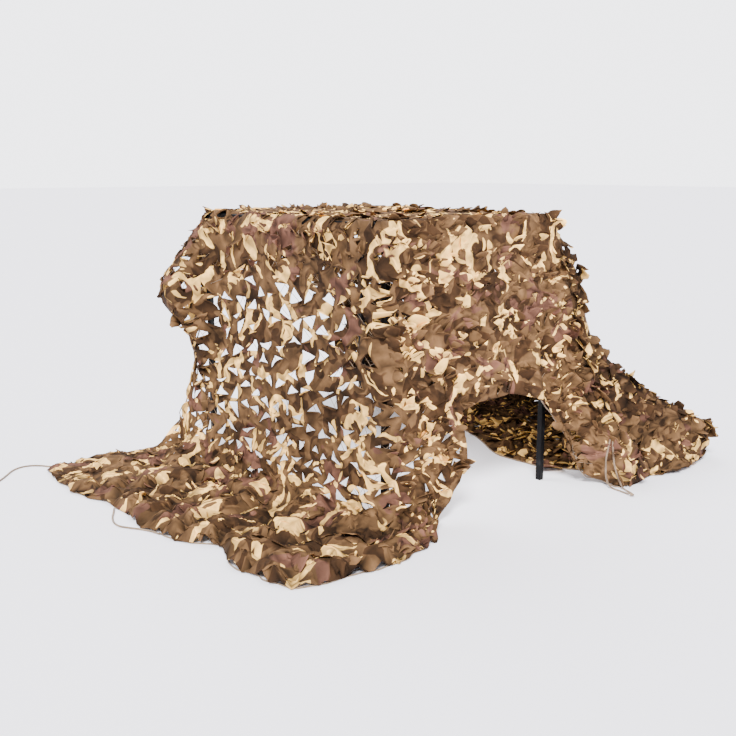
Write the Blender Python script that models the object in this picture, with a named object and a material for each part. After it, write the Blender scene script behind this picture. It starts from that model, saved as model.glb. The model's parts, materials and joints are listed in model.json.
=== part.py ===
"""A die-cut camouflage net draped over a small black table.

The net is one sheet. It lies on the table top, hangs down as a see-through curtain on the left,
runs out over the floor there as an apron, is hitched up along the front, and slopes away on the
right into a heap whose edge turns back under itself. Cords at two of its edges end in knots.
Metres, +Z up. X runs along the table's short side and Y along its long side. The origin is on
the floor, under the middle of the net.
"""
import math
from collections import namedtuple

import bmesh
import bpy
import numpy as np

# ---------------------------------------------------------------- driving dimensions
TABLE_W = 0.60            # along X
TABLE_D = 0.80            # along Y
TABLE_H = 0.74
TABLE_X = -0.143          # the table's middle, from the middle of the net's box
TABLE_Y = -0.009
TOP_T = 0.015
LEG_W = 0.016
SEAT_GAP = 0.0003         # between pieces that touch

CLOTH_T = 0.002
TOP_CLEAR = 0.004         # net over the table top's edge
REST_SHARE = (0.955, 0.965)   # how much of the top, each way, the net rests on
RIM_OUT = 0.010           # net out from the table's edges
RIM_CORNER = 0.012        # radius of the net's bend round a table corner
COLUMNS = 80              # strips of the net, round the table
ROWS = 18                 # steps down each strip
FOLD_R = 0.011            # radius of the turned-under edge of the heap
TUCK_LEAST = 0.05         # a strip tucked less than this isn't turned under

GAP_SHARE = (0.56, 0.80)  # a gap's corners, from the middle of its cell to the cell's corners
GAP_SEED = 7

CORD_D = 0.005
KNOT_D = 0.015
KNOT_FLAT = 0.92          # a knot's underside, as a share of its radius below its middle

# ---------------------------------------------------------------- the net's hanging lines
# A hanging line is how a strip falls: (out from the table's edge, height) at four heights.
LINES = {
    "short":   ((0.018, 0.690), (0.030, 0.640), (0.040, 0.590), (0.046, 0.560)),
    "ear":     ((0.058, 0.655), (0.138, 0.510), (0.045, 0.340), (0.074, 0.070)),
    "wall":    ((0.022, 0.600), (0.030, 0.360), (0.070, 0.060), (0.130, 0.000)),
    "curtain": ((0.020, 0.600), (0.034, 0.470), (0.044, 0.370), (0.050, 0.320)),
    "drop":    ((0.020, 0.600), (0.040, 0.400), (0.060, 0.220), (0.080, 0.100)),
    "flank":   ((0.045, 0.610), (0.085, 0.420), (0.190, 0.190), (0.270, 0.090)),
    "slope":   ((0.104, 0.600), (0.160, 0.390), (0.390, 0.230), (0.610, 0.105)),
    "back":    ((0.060, 0.620), (0.120, 0.440), (0.250, 0.230), (0.340, 0.120)),
}

# ---------------------------------------------------------------- the net, strip by strip
# From the back left corner, down the left side, along the front, up the right and back.
# rim: where the strip leaves the table's edge; heading: the way it falls, in degrees;
# hem: where it ends; tuck: how far the hem is turned back under; gaps: the cut share of it.
Strip = namedtuple("Strip", "line rim_x rim_y heading hem_x hem_y hem_z tuck gap_from gap_to")
STRIPS = [
    Strip("short",   -0.230,  0.400,  92, -0.240,  0.455, 0.520, 0.00, 0.00, 0.00),
    Strip("ear",     -0.285,  0.400, 120, -0.305,  0.465, 0.350, 0.00, 0.00, 0.00),
    Strip("ear",     -0.300,  0.395, 142, -0.390,  0.495, 0.060, 0.00, 0.00, 0.00),
    Strip("ear",     -0.300,  0.380, 156, -0.550,  0.600, 0.000, 0.00, 0.30, 0.55),
    Strip("ear",     -0.300,  0.360, 166, -0.730,  0.593, 0.000, 0.00, 0.15, 0.60),
    Strip("wall",    -0.300,  0.290, 180, -0.765,  0.410, 0.000, 0.00, 0.07, 0.72),
    Strip("wall",    -0.300,  0.160, 180, -0.742,  0.220, 0.000, 0.00, 0.07, 0.80),
    Strip("wall",    -0.300,  0.020, 180, -0.735,  0.050, 0.000, 0.00, 0.07, 0.90),
    Strip("wall",    -0.300, -0.120, 180, -0.740, -0.130, 0.000, 0.00, 0.07, 0.90),
    Strip("wall",    -0.300, -0.240, 180, -0.668, -0.260, 0.000, 0.00, 0.07, 0.80),
    Strip("wall",    -0.300, -0.330, 184, -0.715, -0.350, 0.000, 0.00, 0.07, 0.86),
    Strip("wall",    -0.300, -0.385, 198, -0.705, -0.480, 0.000, 0.00, 0.10, 0.80),
    Strip("wall",    -0.300, -0.400, 212, -0.684, -0.545, 0.000, 0.00, 0.10, 0.70),
    Strip("wall",    -0.292, -0.400, 228, -0.555, -0.580, 0.000, 0.00, 0.10, 0.70),
    Strip("wall",    -0.280, -0.400, 246, -0.414, -0.585, 0.000, 0.00, 0.10, 0.78),
    Strip("wall",    -0.262, -0.400, 262, -0.269, -0.535, 0.000, 0.00, 0.10, 0.85),
    Strip("drop",    -0.225, -0.400, 268, -0.165, -0.475, 0.025, 0.00, 0.10, 0.80),
    Strip("drop",    -0.180, -0.400, 270, -0.080, -0.480, 0.120, 0.00, 0.10, 0.80),
    Strip("curtain", -0.130, -0.400, 270, -0.085, -0.465, 0.235, 0.00, 0.10, 0.85),
    Strip("curtain", -0.050, -0.400, 270, -0.025, -0.455, 0.285, 0.00, 0.20, 0.70),
    Strip("curtain",  0.060, -0.400, 270,  0.075, -0.450, 0.285, 0.00, 0.00, 0.00),
    Strip("curtain",  0.160, -0.400, 270,  0.170, -0.452, 0.270, 0.00, 0.00, 0.00),
    Strip("curtain",  0.240, -0.400, 272,  0.250, -0.460, 0.235, 0.00, 0.00, 0.00),
    Strip("drop",     0.280, -0.400, 278,  0.325, -0.475, 0.120, 0.00, 0.00, 0.00),
    Strip("drop",     0.290, -0.400, 287,  0.360, -0.515, 0.010, 0.00, 0.10, 0.70),
    Strip("flank",    0.298, -0.400, 300,  0.400, -0.595, 0.000, 0.00, 0.15, 0.60),
    Strip("flank",    0.300, -0.400, 314,  0.540, -0.590, 0.000, 0.00, 0.15, 0.60),
    Strip("flank",    0.300, -0.396, 328,  0.640, -0.622, 0.020, 0.16, 0.20, 0.56),
    Strip("slope",    0.300, -0.388, 342,  0.785, -0.598, 0.024, 0.34, 0.30, 0.52),
    Strip("slope",    0.300, -0.365, 354,  0.900, -0.515, 0.024, 0.47, 0.30, 0.52),
    Strip("slope",    0.300, -0.300, 360,  0.985, -0.350, 0.024, 0.60, 0.30, 0.52),
    Strip("slope",    0.300, -0.160, 360,  1.025, -0.170, 0.024, 0.64, 0.30, 0.52),
    Strip("slope",    0.300,  0.020, 360,  1.040,  0.030, 0.024, 0.56, 0.30, 0.52),
    Strip("slope",    0.300,  0.200, 360,  1.010,  0.230, 0.024, 0.46, 0.30, 0.52),
    Strip("slope",    0.300,  0.330, 368,  0.920,  0.430, 0.024, 0.32, 0.30, 0.52),
    Strip("back",     0.300,  0.385, 385,  0.760,  0.560, 0.010, 0.12, 0.30, 0.52),
    Strip("back",     0.296,  0.400, 410,  0.520,  0.590, 0.010, 0.00, 0.00, 0.00),
    Strip("back",     0.280,  0.400, 432,  0.370,  0.520, 0.240, 0.00, 0.00, 0.00),
    Strip("short",    0.210,  0.400, 448,  0.220,  0.460, 0.460, 0.00, 0.00, 0.00),
    Strip("short",    0.060,  0.400, 450,  0.060,  0.455, 0.510, 0.00, 0.00, 0.00),
    Strip("short",   -0.100,  0.400, 450, -0.100,  0.455, 0.540, 0.00, 0.00, 0.00),
]

# ---------------------------------------------------------------- the folds in it
# at: which strip of the list above it runs down; width in strips; height off the sheet;
# it starts at share `start` of the way down and is full at share `full`.
Fold = namedtuple("Fold", "at width height start full")
FOLDS = [
    Fold(4.8,  0.36, 0.030, 0.70, 0.90),
    Fold(5.5,  0.45, 0.035, 0.72, 0.92),
    Fold(6.6,  0.40, 0.028, 0.74, 0.95),
    Fold(7.6,  0.45, 0.036, 0.70, 0.92),
    Fold(8.7,  0.40, 0.030, 0.72, 0.90),
    Fold(10.2, 0.45, 0.050, 0.55, 0.80),
    Fold(12.6, 0.60, 0.040, 0.60, 0.85),
    Fold(14.4, 0.50, 0.030, 0.55, 0.90),
    Fold(16.6, 0.60, 0.035, 0.30, 0.80),
    Fold(18.4, 0.60, 0.030, 0.20, 0.90),
    Fold(20.6, 0.50, 0.022, 0.20, 0.90),
    Fold(22.2, 0.45, 0.024, 0.20, 0.90),
    Fold(24.4, 0.50, 0.028, 0.20, 0.80),
    Fold(26.5, 0.45, 0.034, 0.30, 0.75),
    Fold(28.3, 0.50, 0.030, 0.35, 0.70),
    Fold(30.2, 0.45, 0.040, 0.35, 0.70),
    Fold(31.5, 0.35, 0.034, 0.30, 0.70),
    Fold(32.6, 0.40, 0.040, 0.35, 0.70),
    Fold(34.2, 0.50, 0.040, 0.35, 0.75),
    Fold(36.4, 0.50, 0.030, 0.30, 0.90),
    Fold(38.6, 0.40, 0.020, 0.20, 0.90),
    Fold(40.3, 0.40, 0.016, 0.20, 0.90),
]
UNEVEN = 0.006            # small lumps all over the hanging cloth

# ---------------------------------------------------------------- the cords' routes
LEFT_TIE_ROUTE = [
    (-0.700, 0.586, 0.0050), (-0.712, 0.601, 0.0050), (-0.722, 0.620, 0.0029),
    (-0.738, 0.645, 0.0028), (-0.762, 0.663, 0.0028), (-0.791, 0.665, 0.0028),
    (-0.822, 0.646, 0.0028), (-0.852, 0.612, 0.0028), (-0.884, 0.578, 0.0028),
    (-0.914, 0.556, 0.0028), (-0.9446, 0.546, 0.0056),
]
LEFT_KNOT = (-0.952, 0.544, 0.0075)
RIGHT_TIE_A_ROUTE = [
    (0.3898, -0.5551, 0.1350), (0.3836, -0.5544, 0.1085), (0.3800, -0.5521, 0.0790),
    (0.3787, -0.5537, 0.0560), (0.3782, -0.5548, 0.0350), (0.3782, -0.5610, 0.0170),
    (0.3775, -0.5702, 0.0066), (0.3762, -0.5845, 0.0029), (0.3740, -0.6025, 0.0028),
    (0.3700, -0.6220, 0.0033), (0.3640, -0.6459, 0.0062),
]
RIGHT_TIE_B_ROUTE = [
    (0.3938, -0.5614, 0.1298), (0.3911, -0.5653, 0.1085), (0.3928, -0.5702, 0.0690),
    (0.3962, -0.5764, 0.0430), (0.3981, -0.5868, 0.0210), (0.3960, -0.6000, 0.0060),
    (0.3900, -0.6160, 0.0029), (0.3815, -0.6345, 0.0035), (0.3690, -0.6494, 0.0066),
]
RIGHT_KNOT = (0.362, -0.654, 0.0075)
EDGE_LOOP_ROUTE = [
    (-0.7418, 0.158, 0.0028), (-0.757, 0.130, 0.0028), (-0.776, 0.098, 0.0028),
    (-0.790, 0.062, 0.0028), (-0.792, 0.030, 0.0028), (-0.780, 0.004, 0.0028),
    (-0.764, -0.022, 0.0028), (-0.750, -0.052, 0.0028), (-0.7422, -0.086, 0.0028),
]


# ---------------------------------------------------------------- curves through hand-set points
def monotone(knots, values, at):
    """Smooth values through the knots, with no swing past them."""
    step = np.diff(knots)
    rise = np.diff(values, axis=0) / step[:, None]
    slope = np.zeros_like(values)
    left, right = rise[:-1], rise[1:]
    same_way = left * right > 0
    total = np.where(same_way, left + right, 1.0)
    slope[1:-1] = np.where(same_way, 2 * left * right / total, 0.0)
    i = np.clip(np.searchsorted(knots, at, side="right") - 1, 0, len(step) - 1)
    h = step[i]
    t = ((at - knots[i]) / h)[:, None]
    h = h[:, None]
    return ((2 * t**3 - 3 * t**2 + 1) * values[i] + (t**3 - 2 * t**2 + t) * h * slope[i]
            + (3 * t**2 - 2 * t**3) * values[i + 1] + (t**3 - t**2) * h * slope[i + 1])


def smooth_line(points, spacing):
    """Evenly spaced points on a smooth curve through the given ones."""
    points = np.asarray(points, float)
    ends = np.vstack([2 * points[0] - points[1], points, 2 * points[-1] - points[-2]])
    fine = []
    for a, b, c, d in zip(ends, ends[1:], ends[2:], ends[3:]):
        for t in np.linspace(0, 1, 12, endpoint=False):
            fine.append(0.5 * (2 * b + (c - a) * t + (2 * a - 5 * b + 4 * c - d) * t**2
                               + (3 * b - a - 3 * c + d) * t**3))
    fine.append(points[-1])
    fine = np.array(fine)
    run = np.concatenate([[0], np.cumsum(np.linalg.norm(np.diff(fine, axis=0), axis=1))])
    count = max(4, round(run[-1] / spacing))
    return along(fine, run, np.linspace(0, run[-1], count + 1))


def along(points, run, at):
    """The places at given distances along a line of points."""
    return np.stack([np.interp(at, run, points[:, k]) for k in range(points.shape[1])], axis=1)


# ---------------------------------------------------------------- the hanging net
def rim_point(s):
    """A place on the table's edge line, from its distance round the edge (rounded corners)."""
    half_x, half_y, r = TABLE_W / 2, TABLE_D / 2, RIM_CORNER
    sides = [(TABLE_D, (-half_x, half_y), (0, -1)), (TABLE_W, (-half_x, -half_y), (1, 0)),
             (TABLE_D, (half_x, -half_y), (0, 1)), (TABLE_W, (half_x, half_y), (-1, 0))]
    s = s % (2 * (TABLE_W + TABLE_D))
    for length, start, way in sides:
        if s < length:
            break
        s -= length
    x, y = start[0] + way[0] * s, start[1] + way[1] * s
    corner_x, corner_y = max(abs(x) - (half_x - r), 0), max(abs(y) - (half_y - r), 0)
    reach = math.hypot(corner_x, corner_y)
    if corner_x > 0 and corner_y > 0:
        x = math.copysign(half_x - r + corner_x * r / reach, x)
        y = math.copysign(half_y - r + corner_y * r / reach, y)
    return x, y


def rim_distance(x, y):
    """Distance round the table's edge, from the back left corner down the left side."""
    half_x, half_y = TABLE_W / 2, TABLE_D / 2
    gaps = [(abs(x + half_x), half_y - y), (abs(y + half_y), TABLE_D + x + half_x),
            (abs(x - half_x), TABLE_D + TABLE_W + y + half_y),
            (abs(y - half_y), 2 * TABLE_D + TABLE_W + half_x - x)]
    return min(gaps)[1]


def strip_table():
    """The strips as one array: rim distance, heading, hem, tuck, gaps and the hanging line."""
    rows = []
    last = -1.0
    for strip in STRIPS:
        s = rim_distance(strip.rim_x, strip.rim_y)
        if len(rows) < 2 and s > TABLE_D:
            s -= 2 * (TABLE_W + TABLE_D)
        s = max(s, last + 0.004)
        last = s
        line = [number for point in LINES[strip.line] for number in point]
        rows.append([s, math.radians(strip.heading), strip.hem_x, strip.hem_y, strip.hem_z,
                     strip.tuck, strip.gap_from, strip.gap_to] + line)
    first = list(rows[0])
    first[0] += 2 * (TABLE_W + TABLE_D)
    first[1] += 2 * math.pi
    rows.append(first)
    return np.array(rows)


def strip_places(table):
    """How far round the net each strip is: half its spacing at the rim, half at the hem."""
    rim = np.diff(table[:, 0])
    hem = np.linalg.norm(np.diff(table[:, 2:5], axis=0), axis=1)
    return np.concatenate([[0], np.cumsum(0.5 * (rim + hem))])


def falling_line(row):
    """Points down one strip, from the table's edge to the hem, before any fold."""
    s, heading, hem_x, hem_y, hem_z = row[:5]
    rim_x, rim_y = rim_point(s)
    way = np.array([math.cos(heading), math.sin(heading), 0])
    rim = np.array([rim_x, rim_y, 0])
    edge = [(RIM_OUT, TABLE_H - 0.004), (RIM_OUT + 0.004, TABLE_H - 0.030)]
    line = edge + [(row[8 + 2 * k], row[9 + 2 * k]) for k in range(4)]
    points = [rim + way * out + np.array([0, 0, z]) for out, z in line]
    low = hem_z + 0.03
    points = points[:2] + [p for p in points[2:] if p[2] > low or p[2] < 0.10 >= hem_z]
    points.append(np.array([hem_x, hem_y, hem_z]))
    fine = smooth_line(points, 0.012)
    fine[:, 2] = np.maximum(fine[:, 2], 0.0)
    run = np.concatenate([[0], np.cumsum(np.linalg.norm(np.diff(fine, axis=0), axis=1))])
    return along(fine, run, np.linspace(0, run[-1], ROWS + 1))


def lumps(points):
    """A small smooth unevenness, the same everywhere it is asked for."""
    x, y, z = points[..., 0], points[..., 1], points[..., 2]
    return (np.sin(17 * x + 9 * z + 1.3) * np.sin(15 * y - 11 * z + 0.4)
            + 0.6 * np.sin(31 * y + 23 * z) * np.sin(29 * x - 7 * y + 2.0)) / 1.6


def hanging_grid():
    """Places of the net's skirt: one row of points for each step down, all round the table."""
    table = strip_table()
    places = strip_places(table)
    at = np.linspace(0, places[-1], COLUMNS, endpoint=False)
    columns = monotone(places, table, at)
    grid = np.array([falling_line(row) for row in columns]).transpose(1, 0, 2)
    down = np.gradient(grid, axis=0)
    around = (np.roll(grid, -1, axis=1) - np.roll(grid, 1, axis=1)) / 2
    normal = np.cross(around, down)
    normal /= np.linalg.norm(normal, axis=2, keepdims=True)
    strip_at = np.interp(at, places, np.arange(len(places)))
    share = np.linspace(0, 1, ROWS + 1)
    raised = np.zeros(grid.shape[:2])
    for fold in FOLDS:
        off = (strip_at - fold.at + len(STRIPS) / 2) % len(STRIPS) - len(STRIPS) / 2
        across = np.exp(-(off / fold.width) ** 2)
        growth = np.clip((share - fold.start) / (fold.full - fold.start), 0, 1)
        raised += fold.height * np.outer(growth * growth * (3 - 2 * growth), across)
    tucked = columns[:, 5] > TUCK_LEAST
    raised[:, tucked] *= (1 - np.clip((share - 0.75) / 0.25, 0, 1))[:, None]
    flat = grid[:, :, 2] < 0.004
    raised += np.where(flat, 0, UNEVEN * (1 + lumps(grid)) * np.clip(share * 5, 0, 1)[:, None])
    grid = grid + normal * raised[:, :, None]
    grid[:, :, 2] = np.maximum(grid[:, :, 2], 0.0)
    beside = tucked | np.roll(tucked, 1) | np.roll(tucked, -1)
    grid[-1, beside, 2] = np.maximum(grid[-1, beside, 2], CLOTH_T)
    grid[-1, tucked, 2] = np.maximum(grid[-1, tucked, 2], 1.6 * FOLD_R)
    return grid, columns


def tuck_points(rim_xy, hem, tuck, count):
    """Points of the hem turned back under itself along the floor."""
    away = np.array([hem[0] - rim_xy[0], hem[1] - rim_xy[1], 0.0])
    away /= np.linalg.norm(away)
    flat_z = CLOTH_T
    turn = [hem + away * FOLD_R, hem + away * 0.4 * FOLD_R]
    turn[0][2] = hem[2] * 0.5 + flat_z * 0.5
    turn[1][2] = flat_z
    under = []
    for share in np.linspace(0.0, 1.0, count + 1)[1:]:
        point = hem - away * tuck * share
        point[2] = flat_z
        under.append(point)
    return turn + under


class SheetMesh:
    """The net's underside, collected as points and faces."""

    def __init__(self):
        self.points = []
        self.faces = []

    def add(self, point):
        self.points.append(tuple(point))
        return len(self.points) - 1

    def face(self, *corners):
        self.faces.append(tuple(corners))

    def cell_with_gap(self, corners, shares):
        """A four-sided cell with a four-sided gap through its middle."""
        places = [np.array(self.points[k]) for k in corners]
        middle = sum(places) / 4
        inner = [self.add(middle + (p - middle) * share) for p, share in zip(places, shares)]
        for k in range(4):
            n = (k + 1) % 4
            self.face(corners[k], corners[n], inner[n], inner[k])


def net_mesh():
    """The whole underside: the top, the skirt with its gaps, and the turned-under hem."""
    grid, columns = hanging_grid()
    chance = np.random.RandomState(GAP_SEED)
    sheet = SheetMesh()
    rest_z, edge_z = TABLE_H + SEAT_GAP, TABLE_H + TOP_CLEAR
    inner_ring, edge_ring = [], []
    for row in columns:
        x, y = rim_point(row[0])
        inner_ring.append(sheet.add((x * REST_SHARE[0], y * REST_SHARE[1], rest_z)))
        way_x, way_y = math.cos(row[1]), math.sin(row[1])
        edge_ring.append(sheet.add((x + 0.004 * way_x, y + 0.004 * way_y, edge_z)))
    skirt = [[sheet.add(point) for point in line] for line in grid]
    rings = [inner_ring, edge_ring] + skirt
    sheet.face(*inner_ring)
    for c in range(COLUMNS):
        n = (c + 1) % COLUMNS
        for upper, lower in zip(rings[:2], rings[1:3]):
            sheet.face(upper[c], lower[c], lower[n], upper[n])
    for r in range(ROWS):
        for c in range(COLUMNS):
            n = (c + 1) % COLUMNS
            corners = (skirt[r][c], skirt[r + 1][c], skirt[r + 1][n], skirt[r][n])
            share = (r + 0.5) / ROWS
            start, stop = columns[c, 6], columns[c, 7]
            shares = chance.uniform(*GAP_SHARE, 4)
            if (r + c) % 2 == 0 and start < share < stop and 0 < r < ROWS - 1:
                sheet.cell_with_gap(corners, shares)
            else:
                sheet.face(*corners)
    add_tuck(sheet, skirt[-1], grid[-1], columns)
    return sheet


def add_tuck(sheet, hem_ring, hems, columns):
    """The turned-under part, on the strips that have one, closed to the hem at both ends."""
    steps = 3
    tucked = [c for c in range(COLUMNS) if columns[c, 5] > TUCK_LEAST]
    lines = []
    for c in tucked:
        points = tuck_points(rim_point(columns[c, 0]), hems[c], columns[c, 5], steps)
        lines.append([hem_ring[c]] + [sheet.add(p) for p in points])
    for left, right in zip(lines, lines[1:]):
        for k in range(len(left) - 1):
            sheet.face(left[k], left[k + 1], right[k + 1], right[k])
    first, last = hem_ring[tucked[0] - 1], hem_ring[tucked[-1] + 1]
    for k in range(len(lines[0]) - 1):
        sheet.face(first, lines[0][k + 1], lines[0][k])
        sheet.face(last, lines[-1][k], lines[-1][k + 1])


# ---------------------------------------------------------------- objects
def clear_scene():
    for obj in list(bpy.data.objects):
        bpy.data.objects.remove(obj, do_unlink=True)


def finish(name, colour, roughness, metallic):
    """A plain material."""
    material = bpy.data.materials.new(name)
    material.use_nodes = True
    shader = material.node_tree.nodes["Principled BSDF"]
    shader.inputs["Base Color"].default_value = (*colour, 1)
    shader.inputs["Roughness"].default_value = roughness
    shader.inputs["Metallic"].default_value = metallic
    return material


def place(name, data, material, location=(0, 0, 0)):
    """A new object in the scene, moved with the table to the part's own frame."""
    obj = bpy.data.objects.new(name, data)
    obj.location = (location[0] + TABLE_X, location[1] + TABLE_Y, location[2])
    data.materials.append(material)
    bpy.context.scene.collection.objects.link(obj)
    return obj


def make_net(material):
    sheet = net_mesh()
    mesh = bpy.data.meshes.new("net_sheet")
    mesh.from_pydata(sheet.points, [], sheet.faces)
    mesh.update()
    obj = place("net_sheet", mesh, material)
    thicken = obj.modifiers.new("thickness", "SOLIDIFY")
    thicken.thickness = CLOTH_T
    thicken.offset = 1.0
    thicken.use_quality_normals = True
    thicken.use_rim = True
    return obj


def make_box(name, size, middle, bevel, material):
    half = [s / 2 for s in size]
    corners = [(x * half[0], y * half[1], z * half[2])
               for z in (-1, 1) for y in (-1, 1) for x in (-1, 1)]
    faces = [(0, 2, 3, 1), (4, 5, 7, 6), (0, 1, 5, 4), (2, 6, 7, 3), (0, 4, 6, 2), (1, 3, 7, 5)]
    mesh = bpy.data.meshes.new(name)
    mesh.from_pydata(corners, [], faces)
    mesh.update()
    obj = place(name, mesh, material, middle)
    rounding = obj.modifiers.new("rounded edges", "BEVEL")
    rounding.width = bevel
    rounding.segments = 2
    return obj


def make_table(material):
    top_middle = (0, 0, TABLE_H - TOP_T / 2)
    make_box("table_top", (TABLE_W, TABLE_D, TOP_T), top_middle, 0.002, material)
    leg_h = TABLE_H - TOP_T - SEAT_GAP
    reach_x, reach_y = TABLE_W / 2 - LEG_W / 2, TABLE_D / 2 - LEG_W / 2
    corners = {"back_left": (-1, 1), "front_left": (-1, -1), "front_right": (1, -1),
               "back_right": (1, 1)}
    for corner, (side_x, side_y) in corners.items():
        middle = (side_x * reach_x, side_y * reach_y, leg_h / 2)
        make_box("leg_" + corner, (LEG_W, LEG_W, leg_h), middle, 0.0015, material)


def make_cord(name, route, material):
    curve = bpy.data.curves.new(name, "CURVE")
    curve.dimensions = "3D"
    curve.bevel_depth = CORD_D / 2
    curve.bevel_resolution = 2
    curve.use_fill_caps = True
    points = smooth_line(route, CORD_D * 2.5)
    spline = curve.splines.new("POLY")
    spline.points.add(len(points) - 1)
    for slot, point in zip(spline.points, points):
        slot.co = (*point, 1)
    return place(name, curve, material)


def make_knot(name, middle, material):
    """An overhand knot, as a small lumpy ball with a flat spot under it."""
    bm = bmesh.new()
    bmesh.ops.create_icosphere(bm, subdivisions=2, radius=KNOT_D / 2)
    for vert in bm.verts:
        x, y, z = vert.co
        swell = 1 + 0.06 * math.sin(900 * x + 500 * z) * math.cos(700 * y)
        lump = min(swell, 1.0)
        vert.co = (x * lump, y * lump, max(z * lump, -KNOT_FLAT * KNOT_D / 2))
    mesh = bpy.data.meshes.new(name)
    bm.to_mesh(mesh)
    bm.free()
    return place(name, mesh, material, (middle[0], middle[1], KNOT_FLAT * KNOT_D / 2))


clear_scene()
net_cloth = finish("net_cloth", (0.27, 0.17, 0.10), 0.85, 0.0)
cord_yarn = finish("cord_yarn", (0.45, 0.33, 0.23), 0.9, 0.0)
table_black = finish("table_black", (0.015, 0.015, 0.016), 0.4, 0.0)
make_net(net_cloth)
make_table(table_black)
make_cord("left_tie", LEFT_TIE_ROUTE, cord_yarn)
make_cord("right_tie_a", RIGHT_TIE_A_ROUTE, cord_yarn)
make_cord("right_tie_b", RIGHT_TIE_B_ROUTE, cord_yarn)
make_cord("edge_loop", EDGE_LOOP_ROUTE, cord_yarn)
make_knot("left_tie_knot", LEFT_KNOT, cord_yarn)
make_knot("right_tie_knot", RIGHT_KNOT, cord_yarn)
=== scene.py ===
"""A die-cut camouflage net draped over a small black table.

The net lies on the table top, hangs down as a stretched see-through curtain on the left with an
apron on the floor, is hitched up in front, and slopes into a heap on the right. Metres, +Z up.
"""
import json
import math
from functools import partial

import bpy
import numpy as np
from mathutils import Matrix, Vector, noise
from mathutils.bvhtree import BVHTree
from mathutils.kdtree import KDTree

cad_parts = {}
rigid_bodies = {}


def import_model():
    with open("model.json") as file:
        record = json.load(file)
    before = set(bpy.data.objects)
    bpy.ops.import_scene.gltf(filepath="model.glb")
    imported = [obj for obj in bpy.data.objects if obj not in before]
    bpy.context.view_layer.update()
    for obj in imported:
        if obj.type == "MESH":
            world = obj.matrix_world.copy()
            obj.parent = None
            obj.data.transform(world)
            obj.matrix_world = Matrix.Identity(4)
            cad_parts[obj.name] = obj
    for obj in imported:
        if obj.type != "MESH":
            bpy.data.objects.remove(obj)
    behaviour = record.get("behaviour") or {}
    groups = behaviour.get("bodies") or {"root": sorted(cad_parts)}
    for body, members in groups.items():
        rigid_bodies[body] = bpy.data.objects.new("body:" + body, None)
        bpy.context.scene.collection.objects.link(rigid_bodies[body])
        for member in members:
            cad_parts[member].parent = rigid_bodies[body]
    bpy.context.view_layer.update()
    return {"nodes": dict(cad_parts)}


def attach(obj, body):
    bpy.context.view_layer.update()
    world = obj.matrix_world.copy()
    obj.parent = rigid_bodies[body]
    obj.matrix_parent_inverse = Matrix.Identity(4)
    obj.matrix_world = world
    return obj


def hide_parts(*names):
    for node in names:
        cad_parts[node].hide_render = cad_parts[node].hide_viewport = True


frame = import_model()

# ------------------------------ the view
# A standing viewer's place, a little above the table top and off its front left corner.
TABLE_X, TABLE_Y = -0.143, -0.009      # the table's middle
view_data = bpy.data.cameras.new("view")
view_data.sensor_width = 36.0
view_data.lens = 48.45
view = bpy.data.objects.new("view", view_data)
view.location = (-1.824 + TABLE_X, -2.129 + TABLE_Y, 0.8679)
view.rotation_euler = (math.radians(90 - 11.446), 0, math.radians(-40.39))
bpy.context.scene.collection.objects.link(view)
bpy.context.scene.camera = view

# ------------------------------ the free cords
# Nylon cord of three twisted strands, left long at the net's corners and knotted at its end.
# One loop of the edge cord has slipped out of the hem and lies on the floor.
CORD_D = 0.005
STRAND_LAY = 0.016        # length of one turn of the twist
CORD_SIDES = 15
KNOT_LOOP = 0.0034        # how far out the cord is wound in a knot
LEFT_TIE_ROUTE = [
    (-0.700, 0.586, 0.0050), (-0.712, 0.601, 0.0050), (-0.722, 0.620, 0.0029),
    (-0.738, 0.645, 0.0028), (-0.762, 0.663, 0.0028), (-0.791, 0.665, 0.0028),
    (-0.822, 0.646, 0.0028), (-0.852, 0.612, 0.0028), (-0.884, 0.578, 0.0028),
    (-0.914, 0.556, 0.0028), (-0.9446, 0.546, 0.0056),
]
LEFT_KNOT = (-0.952, 0.544, 0.0069)
RIGHT_TIE_A_ROUTE = [
    (0.3898, -0.5551, 0.1350), (0.3836, -0.5544, 0.1085), (0.3800, -0.5521, 0.0790),
    (0.3787, -0.5537, 0.0560), (0.3782, -0.5548, 0.0350), (0.3782, -0.5610, 0.0170),
    (0.3775, -0.5702, 0.0066), (0.3762, -0.5845, 0.0029), (0.3740, -0.6025, 0.0028),
    (0.3700, -0.6220, 0.0033), (0.3640, -0.6459, 0.0062),
]
RIGHT_TIE_B_ROUTE = [
    (0.3938, -0.5614, 0.1298), (0.3911, -0.5653, 0.1085), (0.3928, -0.5702, 0.0690),
    (0.3962, -0.5764, 0.0430), (0.3981, -0.5868, 0.0210), (0.3960, -0.6000, 0.0060),
    (0.3900, -0.6160, 0.0029), (0.3815, -0.6345, 0.0035), (0.3690, -0.6494, 0.0066),
]
RIGHT_KNOT = (0.362, -0.654, 0.0069)
EDGE_LOOP_ROUTE = [
    (-0.7418, 0.158, 0.0028), (-0.757, 0.130, 0.0028), (-0.776, 0.098, 0.0028),
    (-0.790, 0.062, 0.0028), (-0.792, 0.030, 0.0028), (-0.780, 0.004, 0.0028),
    (-0.764, -0.022, 0.0028), (-0.750, -0.052, 0.0028), (-0.7422, -0.086, 0.0028),
]


def unit(ways, least=0.0):
    """Rows of ways, each made one long."""
    return ways / np.maximum(np.linalg.norm(ways, axis=-1, keepdims=True), least)


def distances(line):
    """How far along a line of points each one lies."""
    return np.concatenate([[0], np.cumsum(np.linalg.norm(np.diff(line, axis=0), axis=1))])


def along(points, run, at):
    """The places at given distances along a line of points."""
    return np.stack([np.interp(at, run, points[:, k]) for k in range(points.shape[1])], axis=1)


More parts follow.
